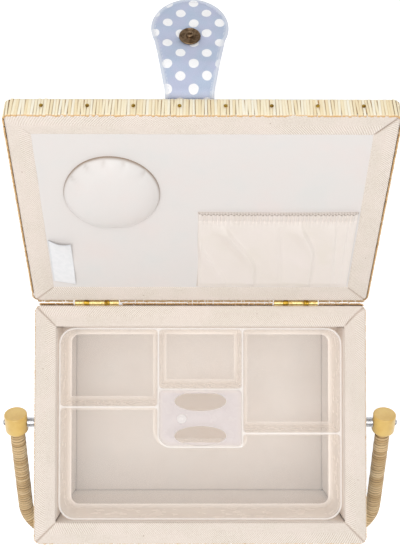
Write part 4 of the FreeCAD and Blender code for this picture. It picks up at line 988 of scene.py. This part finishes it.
def make_label():
    """A small blank label, sewn in at one long edge, with a curled end."""
    low, high = box_in("label", INNER)
    width, length = high.x - low.x, high.y - low.y
    u, v = np.linspace(0, 1, 24)[None, :], np.linspace(0, 1, 60)[:, None]
    curl = 3.2 * MM * np.clip(v - 0.72, 0, 1) ** 2 / 0.28 ** 2 * (0.25 + 0.75 * np.sin(u * math.pi * 0.9))
    lift = 0.5 * MM + 1.1 * MM * u + 0.6 * MM * np.sin(v * 9) * u + curl
    x, y = u * width, (v - 0.5) * length - 1.2 * MM * np.sin(u * math.pi) * v
    px, py = low.x + x, (low.y + high.y) / 2 + y - 0.17 * x
    marks_and_shade = 0.8 * bell(v - 1, 0.02) + 0.6 * bell(u, 0.05)
    piece = patches("label_cloth", [(stacked(px, py, lift), coordinates(x, y), marks_and_shade + 0 * x * y)],
                    placement=INNER)
    thick = piece.modifiers.new("thickness", "SOLIDIFY")
    thick.thickness = 0.3 * MM
    dress(piece, "lid", LABEL, "woven_label", "label")


# ---------------------------------------------------------------- closing tab and snap

TAB_BACK, FOLD_SPREAD, CURL_SPREAD, TAB_SPLIT = 28.2 * MM, 3.5 * MM, 9.0 * MM, 12.0 * MM
HALF_BASE, HALF_NECK, ROUND_PLACE, ROUND = 19.0 * MM, 30.0 * MM, 59.0 * MM, 30.5 * MM
SNAP_PLACE = (middle(*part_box("snap_washer")) - CURL).length + (CURL - FOLD).length


def tab_line(along):
    """Middle points and upward directions of the tab at distances from its fold, in the frame's YZ plane."""
    lid_way = LID.to_3x3() @ Vector((0, -1, 0))
    headings = [math.atan2(way.z, way.y) for way in (lid_way, CURL - FOLD, TAB_END - CURL)]
    headings[2] = headings[1] + ((headings[2] - headings[1] + math.pi) % (2 * math.pi) - math.pi)
    curl_at = (CURL - FOLD).length

    def heading(at):
        folded = smooth_step(at, -FOLD_SPREAD, FOLD_SPREAD)
        curled = smooth_step(at, curl_at - CURL_SPREAD, curl_at + CURL_SPREAD)
        return headings[0] + (headings[1] - headings[0]) * folded + (headings[2] - headings[1]) * curled

    fine = np.linspace(-TAB_BACK - MM, TAB_BACK * 4, 4000)
    step = fine[1] - fine[0]
    turn = heading(fine)
    y, z = np.cumsum(np.cos(turn)) * step, np.cumsum(np.sin(turn)) * step
    rigid = curl_at / 2
    y += FOLD.y + math.cos(headings[1]) * rigid - np.interp(rigid, fine, y)
    z += FOLD.z + math.sin(headings[1]) * rigid - np.interp(rigid, fine, z)
    turn_here = heading(along)
    return np.interp(along, fine, y), np.interp(along, fine, z), -np.sin(turn_here), np.cos(turn_here)


def tab_grids(along):
    """The tab's two faces between the given distances from its fold: puffed, with a seamed edge."""
    along = along[:, None]
    beyond = along - ROUND_PLACE
    neck = np.where(beyond > 0, 0, HALF_BASE + (HALF_NECK - HALF_BASE) * np.clip(along / ROUND_PLACE, 0, 1))
    circle = np.sqrt(np.clip(ROUND ** 2 - beyond ** 2, 0, None))
    x = np.maximum(neck, circle) * np.sin(np.linspace(-1, 1, 61) * math.pi / 2)[None, :]
    inside = np.maximum(neck - np.abs(x), ROUND - np.hypot(x, beyond))
    inside = np.clip(np.minimum(inside, along + TAB_BACK), 0, None)
    thick = 0.95 * MM * np.sqrt(np.clip(inside / MM, 0, 1)) + 0.3 * MM * smooth_step(inside, 2.5 * MM, 8 * MM)
    thick = thick - 0.42 * MM * bell(inside - 3.2 * MM, 0.6 * MM)
    from_snap = np.hypot(x, along - SNAP_PLACE)
    free = smooth_step(along, 6 * MM, 16 * MM)
    pucker = -1.5 * MM * bell(from_snap - 4 * MM, 13 * MM) * free
    crease = 0.9 * MM * bell(x - 0.62 * (along - 22 * MM) - 16 * MM, 2.6 * MM)
    crease = crease * smooth_step(inside, 0, 9 * MM) * free
    uneven = 0.45 * MM * ripple(x, along, 24 * MM, 141) * smooth_step(inside, 0, 6 * MM) + pucker + crease
    stitch = bell(inside - 3.2 * MM, 0.35 * MM) * (np.sin(2 * math.pi * (along + x) / (2.6 * MM)) > -0.3)
    marks_and_shade = np.maximum(0.75 * smooth_step(-inside, -3.0 * MM, -1.8 * MM), 0.9 * stitch)
    surface = coordinates(x - 3.0 * MM, along - 2.3 * MM)
    y, z, up_y, up_z = (part.reshape(-1, 1) for part in tab_line(along.ravel()))
    grids = []
    for sign in (1, -1):
        off = sign * thick + uneven
        grids.append((stacked(FOLD.x + x, y + off * up_y, z + off * up_z), surface, marks_and_shade))
    return grids


def make_tab():
    """The cloth tab as two pieces that meet where it is stiff, half way along its root."""
    curl_at = (CURL - FOLD).length
    tip = ROUND_PLACE + ROUND
    ease = np.sin(np.linspace(0, 1, 70) * math.pi / 2)
    root_rows = np.linspace(-TAB_BACK, TAB_SPLIT, 60)
    tip_rows = TAB_SPLIT + (tip - TAB_SPLIT) * ease
    root = patches("tab_root_cloth", tab_grids(root_rows), weld=5e-6)
    dress(root, None, DOTTED, "dotted_cloth", "tab_anchor", "tab_root")
    end = patches("tab_tip_cloth", tab_grids(tip_rows), weld=5e-6)
    dress(end, None, DOTTED, "dotted_cloth", "tab_tip")

    def at(distance):
        y, z = tab_line(np.array([distance]))[:2]
        return (FOLD.x, float(y[0]), float(z[0]))

    at(-FOLD_SPREAD)
    at(FOLD_SPREAD)
    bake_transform(root)
    at(curl_at - CURL_SPREAD)
    at(curl_at + CURL_SPREAD)
    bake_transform(end)


def make_snap():
    """The snap's stud half: a dished disc with a rolled rim, and a hollow post."""
    tip_way = (TAB_END - CURL).normalized()
    up = Vector((0, -tip_way.z, tip_way.y))
    if up.z < 0:
        up = -up
    washer = middle(*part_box("snap_washer"))
    base = washer + up * 2.1 * MM
    turn = Matrix((Vector((1, 0, 0)), tip_way, up)).transposed().to_4x4()
    placement = Matrix.Translation(base) @ turn
    disc = rounded_profile([(0, -0.2, 0), (7.6, -0.2, 0), (8.4, 0.1, 0.4), (8.5, 0.8, 0.4), (7.9, 1.5, 0.4),
                            (7.3, 1.45, 0.2), (6.9, 1.1, 0.3), (4.3, 1.0, 0.3), (3.9, 1.25, 0.2),
                            (3.2, 1.25, 0.2), (2.9, 1.5, 0.2), (2.9, 3.2, 0.4), (2.3, 3.7, 0.3),
                            (1.7, 3.7, 0.3), (1.4, 3.3, 0.2), (1.3, 2.1, 0.2), (0, 2.0, 0)])
    piece = patches("snap_stud_disc", [lathe(disc, 64)], placement=placement)
    dress(piece, "tab_tip", ANTIQUE, "antique_brass", "snap_stud")


# ---------------------------------------------------------------- tray

def inset_outline(corners, radii, inset, steps=8):
    """The points of a right-angled outline with rounded corners, moved inwards by an inset."""
    points = []
    count = len(corners)
    for i, (corner, radius) in enumerate(zip(corners, radii)):
        here = Vector(corner)
        before = (here - Vector(corners[i - 1])).normalized()
        after = (Vector(corners[(i + 1) % count]) - here).normalized()
        outward = before.x * after.y - before.y * after.x > 0
        spot = here + inset * (Vector((-before.y, before.x)) + Vector((-after.y, after.x)))
        bend = max(radius + (-inset if outward else inset), 0.4 * MM)
        centre = spot - before * bend + after * bend
        for k in range(steps + 1):
            a = math.pi / 2 * k / steps
            points.append(centre - after * bend * math.cos(a) + before * bend * math.sin(a))
    return [tuple(point) for point in points]


def ellipse(centre, half_x, half_y, count=56):
    return [(centre[0] + half_x * math.cos(2 * math.pi * k / count),
             centre[1] + half_y * math.sin(2 * math.pi * k / count)) for k in range(count)]


class Shell:
    """A mesh built from closed loops: walls between loops and flat faces inside or between them."""

    def __init__(self):
        self.work = bmesh.new()

    def loop(self, points, height):
        return [self.work.verts.new((x, y, height)) for x, y in points]

    def wall(self, first, second, kind):
        for i in range(len(first)):
            j = (i + 1) % len(first)
            face = self.work.faces.new((first[i], first[j], second[j], second[i]))
            face.material_index = kind

    def flat(self, loops, kind):
        edges = []
        for loop in loops:
            for i in range(len(loop)):
                pair = (loop[i], loop[(i + 1) % len(loop)])
                edges.append(self.work.edges.get(pair) or self.work.edges.new(pair))
        made = bmesh.ops.triangle_fill(self.work, edges=edges, use_beauty=True, use_dissolve=False)
        for face in (item for item in made["geom"] if isinstance(item, bmesh.types.BMFace)):
            face.material_index = kind

    def object(self, name):
        bmesh.ops.remove_doubles(self.work, verts=self.work.verts, dist=1e-6)
        bmesh.ops.recalc_face_normals(self.work, faces=self.work.faces)
        mesh = bpy.data.meshes.new(name)
        self.work.to_mesh(mesh)
        self.work.free()
        box_coordinates(mesh)
        mesh.shade_smooth()
        mesh.set_sharp_from_angle(angle=math.radians(50))
        return added(name, mesh)


def drafted(lip, depth, foot, draft, steps=5):
    """(inset, depth, is_lip) rows of a moulded wall: a rounded lip, a drafted wall and a rounded foot."""
    rows = []
    for k in range(steps + 1):
        a = math.pi / 2 * k / steps
        rows.append((-lip * (1 - math.sin(a)), lip * (1 - math.cos(a)), True))
    lean = math.tan(math.radians(draft))
    rows.append(((depth - foot) * lean * 0.5, (depth - foot) * 0.5, False))
    start = (depth - foot) * lean
    for k in range(steps + 1):
        b = math.pi / 2 * k / steps
        rows.append((start + foot * (1 - math.cos(b)), depth - foot + foot * math.sin(b), False))
    return rows


def rect(low_x, low_y, high_x, high_y):
    return [(low_x, low_y), (high_x, low_y), (high_x, high_y), (low_x, high_y)]


# the tray's plan: half the grip plate's width, its front and back edges, and the left and right webs
GRIP, GRIP_FRONT, GRIP_BACK, LEFT_WEB, RIGHT_WEB = 38.5 * MM, -21.4 * MM, 31.2 * MM, 15.0 * MM, -9.0 * MM
SKIN, HALF_WEB, LIP, DRAFT = 1.8 * MM, 0.9 * MM, 0.55 * MM, 3.0
SMALL_ROUND, LARGE_ROUND, GRIP_ROUND, OUTER_ROUND = 3.0 * MM, 13.2 * MM, 12.0 * MM, 15.0 * MM
ROOM_FOOT, OUTER_FOOT = 3.5 * MM, 5.0 * MM
PLATE_DROP, PLATE_THICK = 1.5 * MM, 2.0 * MM
HOLE_X, HOLE_Y, HOLES_AT = 23.7 * MM, 8.9 * MM, (20.1 * MM, -11.5 * MM)
BOSS_AT = (-17.1 * MM, 4.2 * MM)
# the order of the tray's materials
FLOOR, SIDE, RIM, PLATE = range(4)


def tray_rooms(in_x, in_y):
    """The outlines of the four rooms, anticlockwise, each with the radii of its corners."""
    back_left = rect(-in_x, LEFT_WEB + HALF_WEB, -GRIP - HALF_WEB, in_y)
    back_middle = rect(-GRIP + HALF_WEB, GRIP_BACK + HALF_WEB, GRIP - HALF_WEB, in_y)
    back_right = rect(GRIP + HALF_WEB, RIGHT_WEB + HALF_WEB, in_x, in_y)
    front = [(-in_x, -in_y), (in_x, -in_y),
             (in_x, RIGHT_WEB - HALF_WEB), (GRIP + HALF_WEB, RIGHT_WEB - HALF_WEB),
             (GRIP + HALF_WEB, GRIP_FRONT - HALF_WEB), (-GRIP - HALF_WEB, GRIP_FRONT - HALF_WEB),
             (-GRIP - HALF_WEB, LEFT_WEB - HALF_WEB), (-in_x, LEFT_WEB - HALF_WEB)]
    small, large = SMALL_ROUND, LARGE_ROUND
    return [(back_left, [small, small, small, large]), (back_middle, [small] * 4),
            (back_right, [small, small, large, small]),
            (front, [large, large, small, small, small, GRIP_ROUND, small, small])]


def moulded_wall(shell, corners, radii, top, depth, foot, outer=False):
    """A drafted wall down from a rounded lip round an outline. Gives its top loop and its foot loop."""
    loops = []
    for inset, down, is_lip in drafted(LIP, depth, foot, DRAFT):
        outline = inset_outline(corners, radii, -inset if outer and is_lip else inset)
        loops.append((shell.loop(outline, top - down), is_lip))
    for (first, _), (second, is_lip) in zip(loops, loops[1:]):
        shell.wall(first, second, RIM if is_lip else SIDE)
    return loops[0][0], loops[-1][0]


def grip_recess(shell, top, low):
    """The walls round the grip plate, above and below it. Gives their four loops from the top down."""
    recess = rect(-GRIP + HALF_WEB, GRIP_FRONT + HALF_WEB, GRIP - HALF_WEB, GRIP_BACK - HALF_WEB)
    radii = [GRIP_ROUND - SKIN, SMALL_ROUND, SMALL_ROUND, SMALL_ROUND]
    upper = shell.loop(inset_outline(recess, radii, -LIP), top)
    brim = shell.loop(inset_outline(recess, radii, 0), top - LIP)
    ledge = shell.loop(inset_outline(recess, radii, 0.2 * MM), top - PLATE_DROP)
    shell.wall(upper, brim, RIM)
    shell.wall(brim, ledge, RIM)
    edge = HALF_WEB * 3
    under = rect(-GRIP + edge, GRIP_FRONT + edge, GRIP - edge, GRIP_BACK - edge)
    roof = shell.loop(inset_outline(under, radii, 1.0 * MM), top - PLATE_DROP - PLATE_THICK)
    foot = shell.loop(inset_outline(under, radii, 0), low)
    shell.wall(roof, foot, SIDE)
    return upper, ledge, roof, foot


def finger_holes(shell, plate_top, plate_low):
    """Two oval holes with eased upper edges. Gives their loops in the plate's top and in its under side."""
    easing = ((0.5 * MM, plate_top), (0.15 * MM, plate_top - 0.15 * MM),
              (0, plate_top - 0.5 * MM), (0, plate_low))
    tops, lows = [], []
    for at in HOLES_AT:
        rings = [shell.loop(ellipse((0, at), HOLE_X + grow, HOLE_Y + grow), height)
                 for grow, height in easing]
        for first, second in zip(rings, rings[1:]):
            shell.wall(first, second, RIM)
        tops.append(rings[0])
        lows.append(rings[-1])
    return tops, lows


def make_tray():
    """The translucent tray: four drafted rooms round a grip plate with two finger holes."""
    low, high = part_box("tray")
    top, tall = high.z, high.z - low.z
    shell = Shell()
    tops = []
    for corners, radii in tray_rooms(high.x - SKIN, high.y - SKIN):
        room_top, room_foot = moulded_wall(shell, corners, radii, top, tall - SKIN, ROOM_FOOT)
        tops.append(room_top)
        shell.flat([room_foot], FLOOR)
    outline = rect(-high.x, -high.y, high.x, high.y)
    outer_top, outer_foot = moulded_wall(shell, outline, [OUTER_ROUND] * 4, top, tall, OUTER_FOOT, outer=True)
    upper, ledge, roof, foot = grip_recess(shell, top, low.z)
    shell.flat([outer_foot, foot], FLOOR)
    shell.flat([outer_top, *tops, upper], RIM)
    plate_top = top - PLATE_DROP
    holes_top, holes_low = finger_holes(shell, plate_top, plate_top - PLATE_THICK)
    shell.flat([ledge, *holes_top], PLATE)
    shell.flat([roof, *holes_low], PLATE)
    tray = shell.object("tray_moulding")
    dress(tray, "tray", [TRAY_FLOOR, TRAY_WALL, TRAY_RIM, TRAY_GRIP], "tray_plastic", "tray")
    boss = rounded_profile([(0, 0.9, 0), (1.5, 0.9, 0.2), (1.7, 1.25, 0.2), (2.6, 1.25, 0.2), (2.8, 0.9, 0.2),
                            (3.9, 0.9, 0.4), (4.5, 0.0, 0.2), (4.5, -0.1, 0)])
    disc = patches("tray_boss", [lathe(boss)], placement=Matrix.Translation((*BOSS_AT, plate_top)))
    dress(disc, "tray", TRAY_RIM, "tray_plastic")


# ---------------------------------------------------------------- handle

def handle_path(distance):
    """Middle points, directions and inward directions along the handle, at distances from one pivot."""
    bend = 40.0 * MM
    arm, crown = ARM_LENGTH - bend, 2 * (ARM_OFFSET - bend)
    arc = bend * math.pi / 2
    here = np.zeros(distance.shape + (3,))
    way = np.zeros_like(here)
    begun, place, heading = 0.0, np.array([-ARM_OFFSET, 0.0]), -math.pi / 2
    for length, turn in ((arm, 0), (arc, math.pi / 2), (crown, 0), (arc, math.pi / 2), (arm, 0)):
        at = distance >= begun
        gone = np.append(distance[at] - begun, length)
        ahead = np.stack([np.cos(heading + turn * gone / length), np.sin(heading + turn * gone / length)], -1)
        if turn:
            inward = np.array([-math.sin(heading), math.cos(heading)])
            path = place + bend * inward + bend * np.stack([ahead[:, 1], -ahead[:, 0]], -1)
        else:
            path = place + gone[:, None] * ahead
        here[at, :2], way[at, :2] = path[:-1], ahead[:-1]
        begun, place, heading = begun + length, path[-1], heading + turn
    side = np.stack([-way[..., 1], way[..., 0], 0 * way[..., 0]], -1)
    return here, way, side, begun


def make_wrap():
    """One flat paper cord wound along the whole cane, each turn a domed rib beside the last."""
    pitch, start = 2.9 * MM, 11.4 * MM
    total = handle_path(np.zeros(1))[3]
    turns = int((total - 2 * start) / pitch)
    segments = 18
    step = np.arange(turns * segments + 1)
    angle = (step * 2 * math.pi / segments)[:, None]
    across = np.linspace(-0.5, 0.5, 7)[None, :]
    draw = np.random.default_rng(151)
    slack = np.interp(step, np.arange(turns + 1) * segments, draw.normal(0, 0.14, turns + 1))[:, None]
    fullness = np.interp(step, np.arange(turns + 1) * segments, draw.uniform(-0.15, 0.12, turns + 1))[:, None]
    along = start + (step / segments)[:, None] * pitch + across * pitch * 1.02
    along = np.clip(along + slack * pitch * 0.5, start, total - start)
    here, _, side, _ = handle_path(along)
    radius = WRAP_RADIUS + (-0.75 + fullness + 0.75 * np.sqrt(np.clip(1 - (2 * across) ** 2, 0, 1))) * MM
    normal = np.array([0.0, 0.0, 1.0])
    points = here + radius[..., None] * (np.cos(angle)[..., None] * side + np.sin(angle)[..., None] * normal)
    surface = coordinates(angle * WRAP_RADIUS, (step // segments)[:, None] + 0.5 + 0.9 * across)
    # painted shade in the grooves between turns, darkest at each turn's edges
    marks_and_shade = np.clip((2 * np.abs(across)) ** 4, 0, 1) * 0.8 + 0 * angle
    piece = patches("handle_wrap_cord", [(points, surface, marks_and_shade)], weld=0, placement=HANDLE)
    dress(piece, "handle", CORD, "paper_cord", "handle_wrap")


def make_caps():
    """The end caps: a flat end with a bright round edge, and a mouth that narrows onto the cord."""
    radius, back, front = 10.5, 10.0, 12.0
    profile = rounded_profile([(0, back - 0.35, 0), (8.6, back - 0.35, 0.3), (9.2, back - 0.05, 0.5),
                               (radius, back - 0.6, 0.9), (radius, -front + 3.6, 1.2),
                               (7.7, -front + 0.3, 0.5), (7.35, -front, 0.2), (6.6, -front + 0.6, 0.2),
                               (6.2, -front + 4, 0)], 5)
    grid = lathe(profile, 64, Y_AXIS)
    for hand, sign in (("left", -1), ("right", 1)):
        node = f"handle_cap_{hand}"
        place = HANDLE @ Matrix.Translation((sign * ARM_OFFSET, 0, 0))
        piece = patches(f"{node}_moulding", [grid], placement=place)
        dress(piece, "handle", CAP, "cap_plastic", node)


def make_pivot_bolts():
    """Domed slotted bolt heads outside the caps, and their shafts into the walls."""
    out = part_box("pivot_bolts")[1].x
    head = rounded_profile([(0, 1.5, 0), (0.45, 1.5, 0), (0.5, 0.9, 0), (0.7, 1.5, 0), (2.2, 1.35, 0.5),
                            (3.0, 0.7, 0.5), (3.0, -0.3, 0.2), (2.0, -0.4, 0), (2.0, -40.0, 0)])
    grids = []
    for sign in (-1, 1):
        points, surface = lathe(head, 40, X_AXIS)
        points = points * [sign, 1, 1] + [sign * (out - 1.5 * MM), 0, PIVOT.z]
        grids.append((points, surface))
    piece = patches("pivot_bolt_heads", grids)
    dress(piece, "basket", STEEL, "steel", "pivot_bolts")


# ---------------------------------------------------------------- carried-over nodes

def finish_nodes():
    """Materials, and softened edges, for the nodes that stay as packed."""
    sides = ("front", "back", "left", "right")
    looks = {
        BOARD: ["base_panel", "lid_board"] + [f"{side}_panel" for side in sides]
        + [f"lid_rail_{side}" for side in sides],
        LINING_SATIN_PAINTED_LIGHT: ["tray_ledges"],
        WADDING: ["lid_padding"],
        BRASS: ["hinge_left_body_leaf", "hinge_right_body_leaf"],
        NAIL_BRASS: ["edge_nails", "hinge_left_lid_leaf", "hinge_right_lid_leaf", "hinge_pins",
                     "body_hinge_screws", "lid_hinge_screws"],
        ANTIQUE: ["snap_socket", "snap_washer"],
        FERRITE: ["snap_magnet"],
        CANE: ["handle_cane"],
        STEEL: ["pivot_spacers", "pivot_washers", "pivot_nuts"],
    }
    for look, names in looks.items():
        for name in names:
            node = frame["nodes"][name]
            for slot in node.material_slots:
                slot.link = "OBJECT"
                slot.material = look
            if look in (BRASS, NAIL_BRASS, ANTIQUE, STEEL):
                bevel = node.modifiers.new("edges", "BEVEL")
                bevel.width = 0.25 * MM
                bevel.segments = 2
                bevel.limit_method = "ANGLE"


# ---------------------------------------------------------------- floor, light and camera

def make_stage():
    mesh = bpy.data.meshes.new("floor")
    reach = 6.0
    mesh.from_pydata([(-reach, -reach, 0), (reach, -reach, 0), (reach, reach, 0), (-reach, reach, 0)], [],
                     [(0, 1, 2, 3)])
    floor = added("floor", mesh)
    look = Look("pale_floor", (250, 250, 250), 0.9, emission_color=(1, 1, 1, 1), emission_strength=0.35)
    mesh.materials.append(look.material)


def add_light(name, place, target, size, power):
    data = bpy.data.lights.new(name, "AREA")
    data.shape = "SQUARE"
    data.size = size
    data.energy = power
    light = added(name, data)
    light.location = place
    light.rotation_euler = (Vector(target) - Vector(place)).to_track_quat("-Z", "Y").to_euler()


def make_lights():
    world = bpy.data.worlds.new("studio")
    bpy.context.scene.world = world
    world.use_nodes = True
    world.node_tree.nodes["Background"].inputs["Color"].default_value = (1, 0.99, 0.98, 1)
    world.node_tree.nodes["Background"].inputs["Strength"].default_value = 0.57
    centre = (0, 0.05, 0.15)
    add_light("key", (-0.8, -0.6, 1.75), centre, 0.7, 6)
    add_light("fill", (0.7, -0.3, 1.9), centre, 1.2, 2.5)
    add_light("top", (0, -0.05, 2.1), centre, 1.2, 15)
    bpy.context.scene.view_settings.view_transform = "Standard"


def make_camera():
    data = bpy.data.cameras.new("camera")
    data.lens = 68.03
    data.sensor_width = 36.0
    camera = added("camera", data)
    camera.location = (-7.96 * MM, 107.49 * MM, 1119.45 * MM)
    camera.rotation_euler = (math.radians(1.73), math.radians(-0.45), math.radians(0.06))
    bpy.context.scene.camera = camera


make_camera()
make_lights()
make_stage()
make_rim_and_lid_tapes()
make_linings()
make_lid_lining()
make_outer_cover()
make_lid_cover()
make_straw_bands()
make_pincushion()
make_pocket()
make_label()
make_tab()
make_snap()
make_tray()
make_wrap()
make_caps()
make_pivot_bolts()
finish_nodes()
